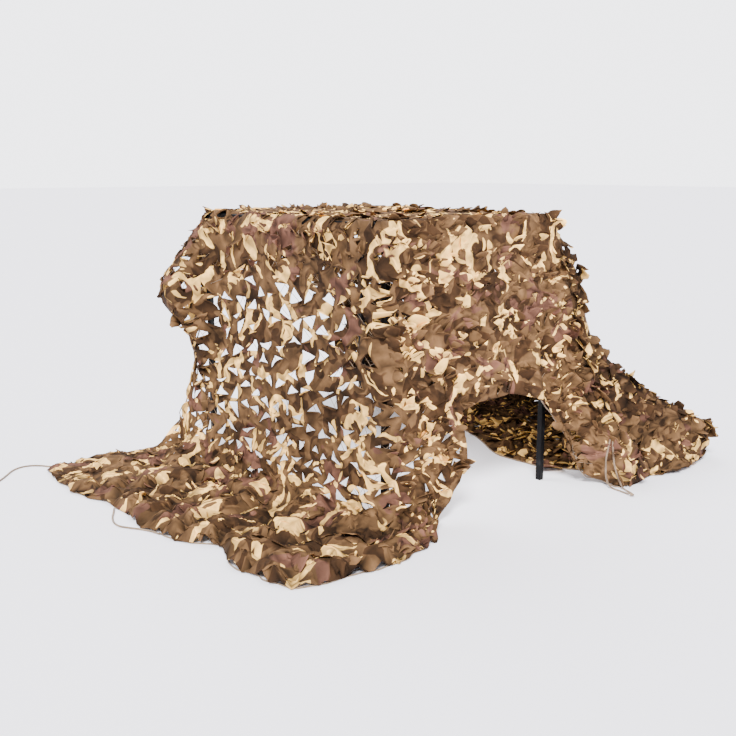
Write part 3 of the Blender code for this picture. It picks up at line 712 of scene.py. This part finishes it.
for cell in range(count):
    own = cell_corners[cell]
    if len(own) < 3:
        frames.append(None)
        continue
    place = np.mean([points[k] for k in own], axis=0)
    up = np.sum([ways[k] for k in own], axis=0)
    corner = triangles[cloth_tree.find_nearest(place)[2]][0]
    up /= np.linalg.norm(up)
    r, c = divmod(corner, cols_n)
    if r > HEM_ROW:
        up = np.array([0.0, 0.0, 1.0])
    fall = drape[min(r + 1, rows_n - 1), c] - drape[max(r - 1, 0), c]
    fall -= up * fall.dot(up)
    fall /= max(np.linalg.norm(fall), 1e-9)
    side = np.cross(up, fall)
    angles = [math.atan2((points[k] - place).dot(side), (points[k] - place).dot(fall))
              for k in own]
    own = [k for angle, k in sorted(zip(angles, own))]
    ring = []
    for k, n in around_ring(own):
        key = (min(k, n), max(k, n))
        beside.setdefault(key, []).append(cell)
        if key not in mid_of:
            mid_of[key] = len(points)
            middle = (points[k] + points[n]) / 2
            points.append(np.array(cloth_tree.find_nearest(middle)[0]))
            ways.append(ways[k] + ways[n])
        ring += [k, mid_of[key]]
    outline = [((points[k] - place).dot(fall), (points[k] - place).dot(side)) for k in ring]
    frames.append((place, fall, side, up))
    ring_angles = [math.atan2(y, x) for x, y in outline]
    opened = float(open_at[corner]) * chance.uniform(0.75, 1.15)
    area = abs(sum(x0 * y1 - x1 * y0 for (x0, y0), (x1, y1) in around_ring(outline))) / 2
    plain = chance.uniform() < 0.22 * (1 - min(opened, 1)) or area < 0.3 * CELL * CELL
    if plain or len(own) < 4:
        centre = add_local(cell, 0.0, 0.0, chance.uniform(0, 0.004))
        for k, n in around_ring(ring):
            cell_faces.append((cell, (centre, k, n)))
        continue
    # a gull-wing cut: two far ends across the fall, a peak on one side, and the root opposite
    slant = chance.normal(0.15, 0.45)
    peak_way = 0.0 if chance.uniform() < 0.42 else math.pi      # down, or up the fall
    turns = [peak_way + slant + corner_way + chance.uniform(-stray, stray)
             for corner_way, stray in ((0.0, 0.35), (math.pi / 2, 0.25), (math.pi, 0.3),
                                       (-math.pi / 2, 0.25))]
    shut_root = chance.choice([0.10, 0.30, 0.65])
    shares = [chance.uniform(0.72, 0.92), chance.uniform(0.80, 0.94),
              chance.uniform(0.40, 0.80) if opened > OPEN_ENOUGH else shut_root,
              chance.uniform(0.80, 0.94)]
    rib = 0.003 + 0.0025 * min(opened, 1)
    hole = []
    for turn, part in zip(turns, shares):
        reach = inside_reach(outline, turn)
        reach = min(reach * part, reach - rib)
        hole.append(np.array([math.cos(turn), math.sin(turn)]) * max(reach, 0.003))
    edge_line = []
    for k in range(4):
        a2, b2 = hole[k], hole[(k + 1) % 4]
        edge_line.append((a2, chance.uniform(0.0, 0.005) * (0.4 + opened)))
        if k in (0, 3):
            edge_line.append(((a2 + b2) / 2, chance.uniform(-0.001, 0.006) * (0.4 + opened)))
    inner = [add_local(cell, p[0], p[1], h) for p, h in edge_line]
    # edge_line is: peak, middle, one end, root, other end, middle
    leaf(cell, inner[2:5], hole[1:], hole[0], opened, longer=1.25 - 0.45 * min(opened, 1))
    # smaller points beside the peak
    for three in ((0, 1, 2), (4, 5, 0)):
        if chance.uniform() < 0.6 - 0.42 * opened:
            root_at = [edge_line[k][0] for k in three]
            tip = (root_at[0] + root_at[2]) / 2 * chance.uniform(0.1, 0.45)
            leaf(cell, [inner[k] for k in three], root_at, tip, opened)
    # the cloth between the cell's outline and the hole
    outer = sorted(zip(ring_angles, ring))
    inner = sorted(zip([math.atan2(p[1], p[0]) for p, h in edge_line], inner))
    for turns in (outer, inner):
        turns.append((turns[0][0] + 2 * math.pi, turns[0][1]))
    i = j = 0
    while i + 1 < len(outer) or j + 1 < len(inner):
        here = [outer[i][1], inner[j][1]]
        if j + 1 == len(inner) or (i + 1 < len(outer) and outer[i + 1][0] <= inner[j + 1][0]):
            i += 1
            here.insert(1, outer[i][1])
        else:
            j += 1
            here.insert(1, inner[j][1])
        cell_faces.append((cell, tuple(here)))

# every point's real place: its spot on the cloth, and its height along the cloth's own way
shared = len(points)
local = np.array(local)
local_cell = np.array(local_cell)
frame_of = [np.array([f[k] if f else np.zeros(3) for f in frames]) for k in range(4)]
here = [axis[local_cell] for axis in frame_of]
asked = here[0] + here[1] * local[:, :1] + here[2] * local[:, 1:2]
hits = [cloth_tree.find_nearest(p) for p in asked]
spots = np.array([hit[0] for hit in hits])
tri = triangles[[hit[2] for hit in hits]]
a, b, c = spot[tri[:, 0]], spot[tri[:, 1]], spot[tri[:, 2]]
whole, part_b, part_c = (np.linalg.norm(np.cross(u, v), axis=1) for u, v in (
    (b - a, c - a), (spots - a, c - a), (b - a, spots - a)))
part_b, part_c = part_b / whole, part_c / whole
lean = (way[tri[:, 0]] * (1 - part_b - part_c)[:, None] + way[tri[:, 1]] * part_b[:, None]
        + way[tri[:, 2]] * part_c[:, None])
lean[(lean * here[3]).sum(1) < 0] *= -1
lean = unit(lean)
uncut = local[:, :2].copy()
for k, xy in leaf_parts:
    uncut[k] = xy
printed_at = here[0] + here[1] * uncut[:, :1] + here[2] * uncut[:, 1:]
points, ways = np.array(points), unit(np.array(ways))
rumple = chance.uniform(0, CRUMPLE, (len(points), 1))
all_points = np.concatenate([points + ways * (rumple + GARNISH_OFF),
                             spots + lean * (local[:, 2:] + GARNISH_OFF)])
all_printed = np.concatenate([points, printed_at])

hem_line = drape[HEM_ROW].copy()
hem_line[:, 2] = 0
hem_tree = near_tree(hem_line)
cord_ends = [(p[0] + TABLE_X, p[1] + TABLE_Y)
             for p in (LEFT_TIE_ROUTE[0], EDGE_LOOP_ROUTE[0], EDGE_LOOP_ROUTE[-1])]


def bulged(places):
    """The slack cloth on the floor: rounded bulges, creases between them, and a rolled edge.

    Returns the moved places, and how deep in a crease each lies, from 0 to 1.
    """
    places = places.copy()
    crease = np.zeros(len(places))
    for k in np.where((places[:, 2] < BULGE_TOP) & (places[:, 0] < TABLE_X + BULGES_END))[0]:
        x, y, z = places[k]
        hem, at, near = hem_tree.find((x, y, 0.0))
        if (x - hem[0]) * away[at][0] + (y - hem[1]) * away[at][1] > 0:      # past the hem
            near = 0.0
        low = 1 - z / BULGE_TOP
        roll = math.sqrt(1 - (1 - min(near / HEM_ROLL, 1.0)) ** 2)
        wide = min(1.0, 2.6 * abs(noise.noise(Vector((12.0 * x, 12.0 * y, 3.7)))))
        fine = abs(noise.noise(Vector((31.0 * x, 31.0 * y, 8.1))))
        free = min(1.0, min(math.dist((x, y), end) for end in cord_ends) / 0.06)
        sway = ((HEM_PROUD + HEM_SWAY * noise.noise(Vector((19.0 * x, 19.0 * y, 5.3)))) * free
                * max(0.0, 1 - near / 0.08))
        out = Vector((x - TABLE_X, y - TABLE_Y)).normalized()
        high = BULGE * (1 - 0.6 * min(max((y - TABLE_Y - 0.25) / 0.2, 0.0), 1.0))
        places[k] += (out.x * sway, out.y * sway, low * roll * high * (wide + 0.3 * fine))
        crease[k] = low * (1 - wide)
    return places, crease


def settled(places):
    """Garnish keeps off the floor, and lies low over the table top."""
    places = bulged(places)[0]
    over = np.maximum(places[:, 2] - LOW_OVER_TOP, 0)
    places[:, 2] -= over - LIFT_OVER_TOP * (1 - np.exp(-over / LIFT_OVER_TOP))
    places[:, 2] = np.maximum(places[:, 2], FLOOR_CLEAR)
    return places


# each point's random fade, with painted shade: darker at the leaves' roots, in the creases and on
# the shaded parts
all_fade_and_shade = np.concatenate([chance.uniform(0.0, 1.0, len(points)), local_fade_and_shade])
# painted shade: darker in the creases between the floor cloth's bulges
all_fade_and_shade -= CREASE_SHADE * bulged(all_points)[1]
# painted shade: darker where the curtain hangs open past the table's side
all_fade_and_shade -= (CURTAIN_SHADE * (all_points[:, 0] < TABLE_X - CURTAIN_OUT)
             * ramp(all_points[:, 2], 0.08, 0.10))
all_points = settled(all_points)

# the print: a brown ground with darker and mauve patches and cream arms over them, made lighter or
# darker by a random fade and by painted shade
print_group, given, out, add = new_tree(
    "net_print", "Shader",
    {"Place": "Vector", "Ground": (0.25, 0.16, 0.10, 1), "Shade": (0.12, 0.075, 0.045, 1),
     "Mauve": (0.26, 0.13, 0.10, 1), "Cream": (0.72, 0.54, 0.32, 1), "Worn": 0.5},
    {"Color": "Color", "Height": "Float"})
texture = partial(add, "TexNoise", vector=given["Place"])
inked = given["Ground"]
for ink, scale, shift, low, high, wander in (
    ("Shade", 13.0, (4.0, 1.0, 2.0), 0.515, 0.545, 1.1),
    ("Mauve", 9.0, (9.0, 3.0, 7.0), 0.59, 0.61, 0.9),
    ("Cream", 11.5, (1.0, 8.0, 5.0), 0.578, 0.590, 1.7),
):
    moved = add("Mapping", vector=given["Place"], location=shift)
    patch = texture(vector=moved, scale=scale, detail=1.6, roughness=0.55, distortion=wander)
    mask = add("MapRange", value=patch, from_min=low, from_max=high)
    inked = add("Mix", set_data_type="RGBA", i0=mask, i6=inked, i7=given[ink])
tone_and_shade = add("MapRange", value=texture(scale=38.0, detail=3.0), from_min=0.3, from_max=0.7,
           to_min=0.70, to_max=1.25)
# painted shade: the points' values darken the leaves' roots, the creases and the shaded parts
rubbed_and_shaded = add("MapRange", value=given["Worn"], from_min=-0.5, from_max=1.5, to_min=0.0,
             to_max=2.05)
both = add("Math", set_operation="MULTIPLY", i0=tone_and_shade, i1=rubbed_and_shaded)
toned = add("Mix", set_data_type="RGBA", set_blend_type="MULTIPLY", i0=1.0, i6=inked, i7=both)
feed(out, color=toned, height=texture(scale=1400.0, detail=1.0))

# the print is read at the place that each bit had in the uncut cloth, and darkened by each point's
# random fade and painted shade
printed_net_cloth, shader, add = new_material("printed_net_cloth", roughness=0.88,
                                              specular_ior_level=0.10)
dress(shader, add, print_group, 0.25, 0.0003,
      place=add("Attribute", set_attribute_name="printed_at").outputs["Vector"],
      worn=add("Attribute", set_attribute_name="faded").outputs["Fac"],
      ground=(0.121, 0.0640, 0.0280, 1), shade=(0.044, 0.0215, 0.0095, 1),
      mauve=(0.124, 0.056, 0.036, 1), cream=(0.92, 0.550, 0.168, 1))


def picked(faces):
    """The points that some faces use, and the faces by their corners' places among those."""
    used = sorted({int(k) for face in faces for k in face})
    place = {k: n for n, k in enumerate(used)}
    return used, [tuple(place[k] for k in face) for face in faces]


def thicken(piece):
    """The cloth's own thickness, on its outer side."""
    thick = piece.modifiers.new("thickness", "SOLIDIFY")
    thick.thickness = GARNISH_T
    thick.offset = 1.0


# the one net, in the pieces that its sides fall into, by where they end on the strips' count
SIDE_ENDS = (3, 15.5, 24.5, 36.5)
cell_spot = np.array([triangles[cloth_tree.find_nearest(f[0])[2]][0] if f else 0
                      for f in frames])
on_top = cell_spot // cols_n < TOP_END - 1
side_names = np.array(["net_back", "net_curtain", "net_front", "net_heap", "net_back"])
cell_part = side_names[np.searchsorted(SIDE_ENDS, strip_at[cell_spot % cols_n], side="right")]
cell_part[on_top] = "net_top"
NET_PARTS = (      # the piece, its flat size, and how much darker it is painted, for the shade it lies in
    ("net_top", (0.62, 0.92), 0.0), ("net_curtain", (1.10, 1.20), -0.08),
    ("net_front", (0.66, 0.66), 0.0), ("net_heap", (1.50, 1.50), -0.40),
    ("net_back", (0.85, 0.42), 0.0),
)
for name, flat, worn in NET_PARTS:
    used, faces = picked([[k if k >= 0 else shared - k - 1 for k in face]
                          for cell, face in cell_faces if cell_part[cell] == name])
    mesh = mesh_of(name, all_points[used], faces, printed_at=all_printed[used],
                   faded=all_fade_and_shade[used] + worn)
    piece = link(name, mesh, printed_net_cloth)
    thicken(piece)
    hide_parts("net_sheet")

# ------------------------------ the leaves that lie over others
# Where the net is slack or heaped its cut leaves lie over each other in several layers. Each is a
# curled tongue of the same printed cloth, rooted in the net and lying along its folds.
LEAF_STEPS = 6
LEAFY_LEAST = 0.01        # cloth less leafy than this carries none
# length, width, lean, bluntness, first slope, curl and cupping of each kind
POINTED = [
    (0.046, 0.023, 0.0, 0.10, 0.10, 0.70, 10.0), (0.042, 0.024, 0.3, 0.22, 0.22, 1.00, -8.0),
    (0.050, 0.020, -0.4, 0.06, 0.12, 0.40, 14.0), (0.044, 0.026, 0.15, 0.40, 0.30, 0.80, 4.0),
    (0.040, 0.022, -0.2, 0.15, 0.15, 1.40, -12.0),
]
BROAD = [
    (0.046, 0.044, 0.1, 0.55, 0.20, 0.25, -7.0), (0.042, 0.038, -0.3, 0.30, 0.14, 0.45, -9.0),
    (0.050, 0.042, 0.4, 0.60, 0.24, 0.10, -5.0), (0.040, 0.036, -0.1, 0.20, 0.16, 0.60, 6.0),
]


def loose_leaf(name, length, width, lean, blunt, start, turn, cup):
    """A leaf at the origin: its root under the cloth, its length along +Y, curling up to +Z."""
    points = []
    for t in np.arange(LEAF_STEPS + 1) / LEAF_STEPS:
        out, rise = curled(start, turn / length, length * t)
        half = width * (0.5 * (1 - t) + 0.5 * blunt * t
                        + 0.28 * math.sin(math.pi * min(1.0, t * 1.1)))
        for side in (-half, -half / 2, 0.0, half / 2, half):
            points.append((lean * width * t * t + side, out, rise - 0.0010 + cup * side * side))
    faces = [(r * 5 + k, r * 5 + k + 1, r * 5 + k + 6, r * 5 + k + 5)
             for r in range(LEAF_STEPS) for k in range(4)]
    # painted shade: darker at the root, where the leaf meets the cloth, lighter towards its tip
    mesh = mesh_of(name, points, faces, leaf_place=np.array(points),
                   faded=np.repeat(np.linspace(0.0, 1.0, LEAF_STEPS + 1), 5))
    return bpy.data.objects.new(name, mesh)


def leaf_set(name, shapes):
    """The kinds of one set of leaves, kept aside for Geometry Nodes to pick from."""
    kinds = bpy.data.collections.new(name)
    for number, shape in enumerate(shapes):
        kinds.objects.link(loose_leaf(f"{name}_{number}", *shape))
    return kinds


pointed_leaves = leaf_set("pointed_leaf", POINTED)
broad_leaves = leaf_set("broad_leaf", BROAD)
mixed_leaves = leaf_set("mixed_leaf", POINTED[:2] + BROAD)


def grown(name, mesh, tree, material, slot, **values):
    """The plain mesh that a Geometry Nodes tree makes on another, which is then taken away."""
    carrier = bpy.data.objects.new(mesh.name, mesh)
    maker = carrier.modifiers.new("maker", "NODES")
    maker.node_group = tree
    for item in tree.interface.items_tree:
        key = item.name.replace(" ", "_").lower()
        if item.in_out == "INPUT" and key in values:
            maker[item.identifier] = values[key]
    bpy.context.scene.collection.objects.link(carrier)
    seen = bpy.context.evaluated_depsgraph_get()
    mesh = bpy.data.meshes.new_from_object(carrier.evaluated_get(seen),
                                           preserve_all_data_layers=True, depsgraph=seen)
    mesh.name = name
    mesh.materials.clear()
    bpy.data.objects.remove(carrier, do_unlink=True)
    return link(name, mesh, material)


leaf_tree, given, out, add = new_tree(
    "leaves_over_cloth", "Geometry",
    {"Geometry": "Geometry", "Density": 600.0, "Leaf Kinds": "Collection", "Cloth": "Material",
     "Seed": 3, "Smallest": 0.65, "Largest": 1.25, "Swing": 0.9},
    {"Geometry": "Geometry"})
field = partial(add, "InputNamedAttribute", set_data_type="FLOAT_VECTOR")
drawn = partial(add, "RandomValue", set_data_type="FLOAT")
aligned = partial(add, "AlignRotationToVector")
printed = partial(add, "StoreNamedAttribute", set_data_type="FLOAT_VECTOR", set_domain="POINT",
                  name="printed_at")
product = partial(add, "Math", set_operation="MULTIPLY")
total = partial(add, "VectorMath", set_operation="ADD")
wanted = product(i0=given["Density"], i1=field(set_data_type="FLOAT", name="leafy"))
spread = add("DistributePointsOnFaces", mesh=given["Geometry"], density=wanted,
             seed=given["Seed"])
upright = aligned(set_axis="Z", vector=spread.outputs["Normal"])
streaming = aligned(set_axis="Y", set_pivot_axis="Z", rotation=upright,
                    vector=field(name="stream"))
swung = product(i0=drawn(i2=-1.0, i3=1.0, seed=given["Seed"]), i1=given["Swing"])
turned = add("CombineXYZ", x=drawn(i2=-0.08, i3=0.22, seed=11), z=swung)
laid = add("RotateRotation", set_rotation_space="LOCAL", rotation=streaming,
           rotate_by=add("EulerToRotation", euler=turned))
drift = drawn(set_data_type="FLOAT_VECTOR", i0=(-0.012,) * 3, i1=(0.012,) * 3, seed=23)
marked = printed(geometry=spread, value=total(i0=add("InputPosition"), i1=drift))
kinds = add("CollectionInfo", collection=given["Leaf Kinds"], separate_children=True,
            reset_children=True)
placed = add("InstanceOnPoints", points=marked, instance=kinds, pick_instance=True,
             rotation=laid, scale=drawn(i2=given["Smallest"], i3=given["Largest"], seed=17))
restored = printed(geometry=add("RealizeInstances", geometry=placed),
                   value=total(i0=field(name="printed_at"), i1=field(name="leaf_place")))
feed(out, geometry=add("SetMaterial", geometry=restored, material=given["Cloth"]))


fall_way = np.zeros_like(drape)
fall_way[1:-1] = drape[2:] - drape[:-2]
fall_way[0], fall_way[-1] = fall_way[1], fall_way[-2]
fall_way = unit(fall_way, 1e-9)
side_way = np.cross(way.reshape(drape.shape), fall_way)
strip_grid = np.broadcast_to(strip_at, (rows_n, cols_n))
row_grid = np.broadcast_to(np.arange(rows_n)[:, None], (rows_n, cols_n))
high = drape[:, :, 2]

# where each set of leaves lies, by the strips' count and by height
falling = (row_grid >= TOP_END) & (row_grid <= HEM_ROW)
wall_front = falling * ramp(strip_grid, 10.8, 3.2) * (strip_grid < 25)
heap = falling & (strip_grid >= 25) & (strip_grid < 37)
ear = falling & ((strip_grid < 4.5) | (strip_grid >= 37)) & (high > 0.05)
upper = (falling * (strip_grid >= 4.5) * (strip_grid <= 17) * ramp(high, 0.61, 0.06)
         * ramp(-high, -0.726, 0.02))
apron = falling & (strip_grid > 2) & (strip_grid < 17) & (high < 0.09)
lower_heap = heap & (high < 0.20)
inner = (row_grid > TOP_END + ROWS // 3) & (strip_grid > 26) & (strip_grid < 36)
# each set's last but one number is painted shade that darkens it: most on the heap, then in the
# pile under the table and on the floor
for name, leafy, stream, kinds, density, seed, inward, swing, worn, largest in (
    ("front_leaves", wall_front + upper * 0.80 + ear * 0.05, 0.75 * side_way - 0.55 * fall_way,
     pointed_leaves, 650.0, 3, False, 0.75, 0.0, 1.25),
    ("heap_leaves", (heap * ramp(high, 0.01, 0.05) * 0.9 * (row_grid < HEM_ROW - 3)
                     + (row_grid < TOP_END) * 0.25),
     fall_way - 0.3 * side_way, mixed_leaves, 560.0, 5, False, 1.1, -0.42, 1.05),
    ("floor_leaves", (apron * 0.18 + lower_heap * 0.6) * (row_grid < HEM_ROW - 6),
     fall_way + 0.35 * side_way, broad_leaves, 620.0, 13, False, 0.8, -0.25, 1.20),
    ("inner_leaves", inner * 0.8, fall_way, broad_leaves, 520.0, 9, True, 2.6, -0.30, 1.45),
):
    # the net's own surface carries how leafy each place is, and which way its leaves stream
    leafy, stream = leafy.ravel(), stream.reshape(-1, 3)
    used, faces = picked(triangles[leafy[triangles].max(1) > LEAFY_LEAST][
        :, [0, 2, 1] if inward else [0, 1, 2]])
    mesh = mesh_of(name + "_cloth", spot[used], faces, leafy=leafy[used], stream=stream[used])
    piece = grown(name, mesh, leaf_tree, printed_net_cloth, "net_cloth", leaf_kinds=kinds,
                  cloth=printed_net_cloth, seed=seed, density=density, swing=swing,
                  largest=largest)
    places = np.empty(len(piece.data.vertices) * 3, np.float32)
    piece.data.vertices.foreach_get("co", places)
    piece.data.vertices.foreach_set("co", settled(places.reshape(-1, 3)).ravel())
    # painted shade: the set's leaves made darker by its own amount
    rubbed_and_shaded = piece.data.attributes["faded"].data
    values = np.empty(len(rubbed_and_shaded), np.float32)
    rubbed_and_shaded.foreach_get("value", values)
    rubbed_and_shaded.foreach_set("value", values + worn)
    thicken(piece)
for kind in [k for kept in (pointed_leaves, broad_leaves, mixed_leaves) for k in kept.objects]:
    bpy.data.objects.remove(kind, do_unlink=True)

# ------------------------------ the string mesh and edge cord
# A knotted mesh of thin nylon string carries the cut cloth, and a round cord is sewn along the
# net's edge. They are sewn to the cloth's back, so they follow it everywhere.
STRING_D = 0.0013
EDGE_CORD_D = 0.0040
HEM_IN = 0.009            # the cord lies a little under the rolled hem
HEM_BEHIND = 0.007        # and behind it where it hangs
STRING_BEHIND = 0.0012
STRING_LOW = 0.0009       # above the floor at least
SLANT_OFF = 16            # strings run within these degrees of a slant
HANGS_OVER = 0.05
string_tree, given, out, add = new_tree(
    "string_along_lines", "Geometry",
    {"Geometry": "Geometry", "Diameter": STRING_D, "Sides": 4, "Yarn": "Material"},
    {"Geometry": "Geometry"})
lines = add("MeshToCurve", mesh=given["Geometry"])
half = add("Math", set_operation="MULTIPLY", i0=given["Diameter"], i1=0.5)
round_end = add("CurvePrimitiveCircle", resolution=given["Sides"], radius=half)
tube = add("CurveToMesh", curve=lines, profile_curve=round_end, fill_caps=True)
real = add("RealizeInstances", geometry=tube)
feed(out, geometry=add("SetMaterial", geometry=real, material=given["Yarn"]))


def stringed(name, points, edges, diameter, sides):
    """Round string along the lines between some points."""
    lines = mesh_of(name + "_lines", points, edges=edges)
    return grown(name, lines, string_tree, cord_yarn, "cord_yarn", yarn=cord_yarn,
                 diameter=diameter, sides=sides)


string_points, string_edges, string_at = [], [], {}


def string_end(cell):
    """The string's knot behind the middle of a cell."""
    if cell not in string_at:
        middle, up = frames[cell][0], frames[cell][3]
        place = np.array(cloth_tree.find_nearest(middle)[0]) - up * STRING_BEHIND
        place[2] = max(place[2], STRING_LOW)
        string_at[cell] = len(string_points)
        string_points.append(place)
    return string_at[cell]


for pair in beside.values():
    if len(pair) != 2 or on_top[pair[0]] or on_top[pair[1]]:
        continue
    middle, fall, side, up = frames[pair[0]]
    step = frames[pair[1]][0] - middle
    angle = math.degrees(math.atan2(step.dot(side), step.dot(fall))) % 90
    if abs(angle - 45) < SLANT_OFF:
        string_edges.append((string_end(pair[0]), string_end(pair[1])))
stringed("string_mesh", string_points, string_edges, STRING_D, 4)

hem_row = np.where(tucked, rows_n - 1, HEM_ROW)
hem_points = drape[hem_row, np.arange(cols_n)].copy()
lying = (hem_points[:, 2] < HANGS_OVER) & ~tucked
off_end = np.min([np.linalg.norm(hem_points[:, :2] - end, axis=1) for end in cord_ends], axis=0)
hanging = (hem_points[:, 2] >= HANGS_OVER) & ~tucked
hem_points[hanging, :2] -= away[hanging] * HEM_BEHIND
hem_points[hanging, 2] += HEM_BEHIND
hem_points[lying] = bulged(hem_points[lying])[0]
inset = HEM_IN * np.clip(off_end / 0.05, 0, 1)
hem_points[lying, :2] -= (away * inset[:, None])[lying]
slipped = ((hem_points[:, 1] < cord_ends[1][1]) & (hem_points[:, 1] > cord_ends[2][1])
           & (hem_points[:, 0] < TABLE_X - 0.6))
hem_points[:, 2] = np.maximum(hem_points[:, 2], EDGE_CORD_D / 2)
hem_edges = [(k, (k + 1) % cols_n) for k in range(cols_n)
             if not (slipped[k] and slipped[(k + 1) % cols_n])]
stringed("edge_cord", hem_points, hem_edges, EDGE_CORD_D, 8)

# ------------------------------ the table
# A small table: a black board top on four square steel legs, powder coated, scuffed by use.
wear_group, given, out, add = new_tree(
    "edge_scuffs", "Shader",
    {"Place": "Vector", "Paint": (0.012, 0.012, 0.013, 1), "Scuff": (0.05, 0.05, 0.052, 1),
     "Grain": 900.0},
    {"Color": "Color", "Roughness": "Float", "Height": "Float"})
texture = partial(add, "TexNoise", vector=given["Place"])
rub = texture(scale=24.0, detail=6.0, roughness=0.7)
rubbed_and_shaded = add("MapRange", value=rub, from_min=0.60, from_max=0.72)
paint = add("Mix", set_data_type="RGBA", i0=rubbed_and_shaded, i6=given["Paint"], i7=given["Scuff"])
dull = add("MapRange", value=rub, from_min=0.3, from_max=0.7, to_min=0.34, to_max=0.62)
feed(out, color=paint, roughness=dull, height=texture(scale=given["Grain"], detail=2.0))


def black_coat(name, paint, scuff, grain, depth):
    """A scuffed black coat on a solid of the table."""
    material, shader, add = new_material(name, roughness=0.5, specular_ior_level=0.10)
    coat = dress(shader, add, wear_group, 0.3, depth, paint=paint, scuff=scuff, grain=grain,
                 place=add("TexCoord").outputs["Object"])
    feed(shader, roughness=coat.outputs["Roughness"])
    return material


leg_coat = black_coat("black_powder_coat", (0.0022, 0.0022, 0.0026, 1), (0.012, 0.012, 0.013, 1),
                      1400.0, 0.0002)
board_face = black_coat("black_board_face", (0.006, 0.006, 0.007, 1), (0.03, 0.029, 0.028, 1),
                        500.0, 0.0003)
for name in ("leg_front_left", "leg_front_right", "leg_back_left", "leg_back_right"):
    frame["nodes"][name].material_slots[0].material = leg_coat
frame["nodes"]["table_top"].material_slots[0].material = board_face

# ------------------------------ the studio floor and light
# A seamless pale paper floor and a bright pale room, with three soft distant lights, a narrow lamp
# aimed low through the arch, and a weak glow under the table.
floor_mesh = mesh_of("floor", [(-40, -40, 0), (40, -40, 0), (40, 40, 0), (-40, 40, 0)],
                     [(0, 1, 2, 3)])
floor = bpy.data.objects.new("floor", floor_mesh)
bpy.context.scene.collection.objects.link(floor)
paper = new_material("studio_paper", roughness=0.7, specular_ior_level=0.1,
                     base_color=(0.92, 0.91, 0.98, 1))[0]
floor_mesh.materials.append(paper)

world = bpy.data.worlds.new("studio")
world.use_nodes = True
tree = world.node_tree
eye = node(tree, "LightPath").outputs["Is Camera Ray"]
glow = node(tree, "MapRange", value=eye, to_min=1.25, to_max=4.2)
feed(tree.nodes["Background"], color=(0.93, 0.93, 0.98, 1), strength=glow)
bpy.context.scene.world = world


def studio_light(name, kind, place, aim, power):
    """A light at a place, aimed at another."""
    data = bpy.data.lights.new(name, kind)
    data.energy = power
    light = bpy.data.objects.new(name, data)
    light.location = place
    light.rotation_euler = (Vector(aim) - Vector(place)).to_track_quat("-Z", "Y").to_euler()
    bpy.context.scene.collection.objects.link(light)
    return light


for name, place, softness, power in (
    ("key_light", (-2.5, -2.4, 3.5), 16, 8.8),
    ("fill_light", (-1.6, -2.6, 0.75), 30, 0.5),
    ("back_light", (1.6, 2.8, 3.4), 40, 2.2),
):
    studio_light(name, "SUN", place, (0, 0, 0), power).data.angle = math.radians(softness)
lamp = studio_light("low_lamp", "SPOT", (-1.75, -2.45, 0.50), (0.40, 0.0, 0.06), 300.0).data
lamp.spot_size = math.radians(9.5)
lamp.spot_blend = 1.0
lamp.shadow_soft_size = 0.45
under_table = studio_light("under_table_glow", "POINT", (-0.12, -0.12, 0.42), (0, 0, 0), 17.0)
under_table.data.shadow_soft_size = 0.2
under_table.visible_camera = False
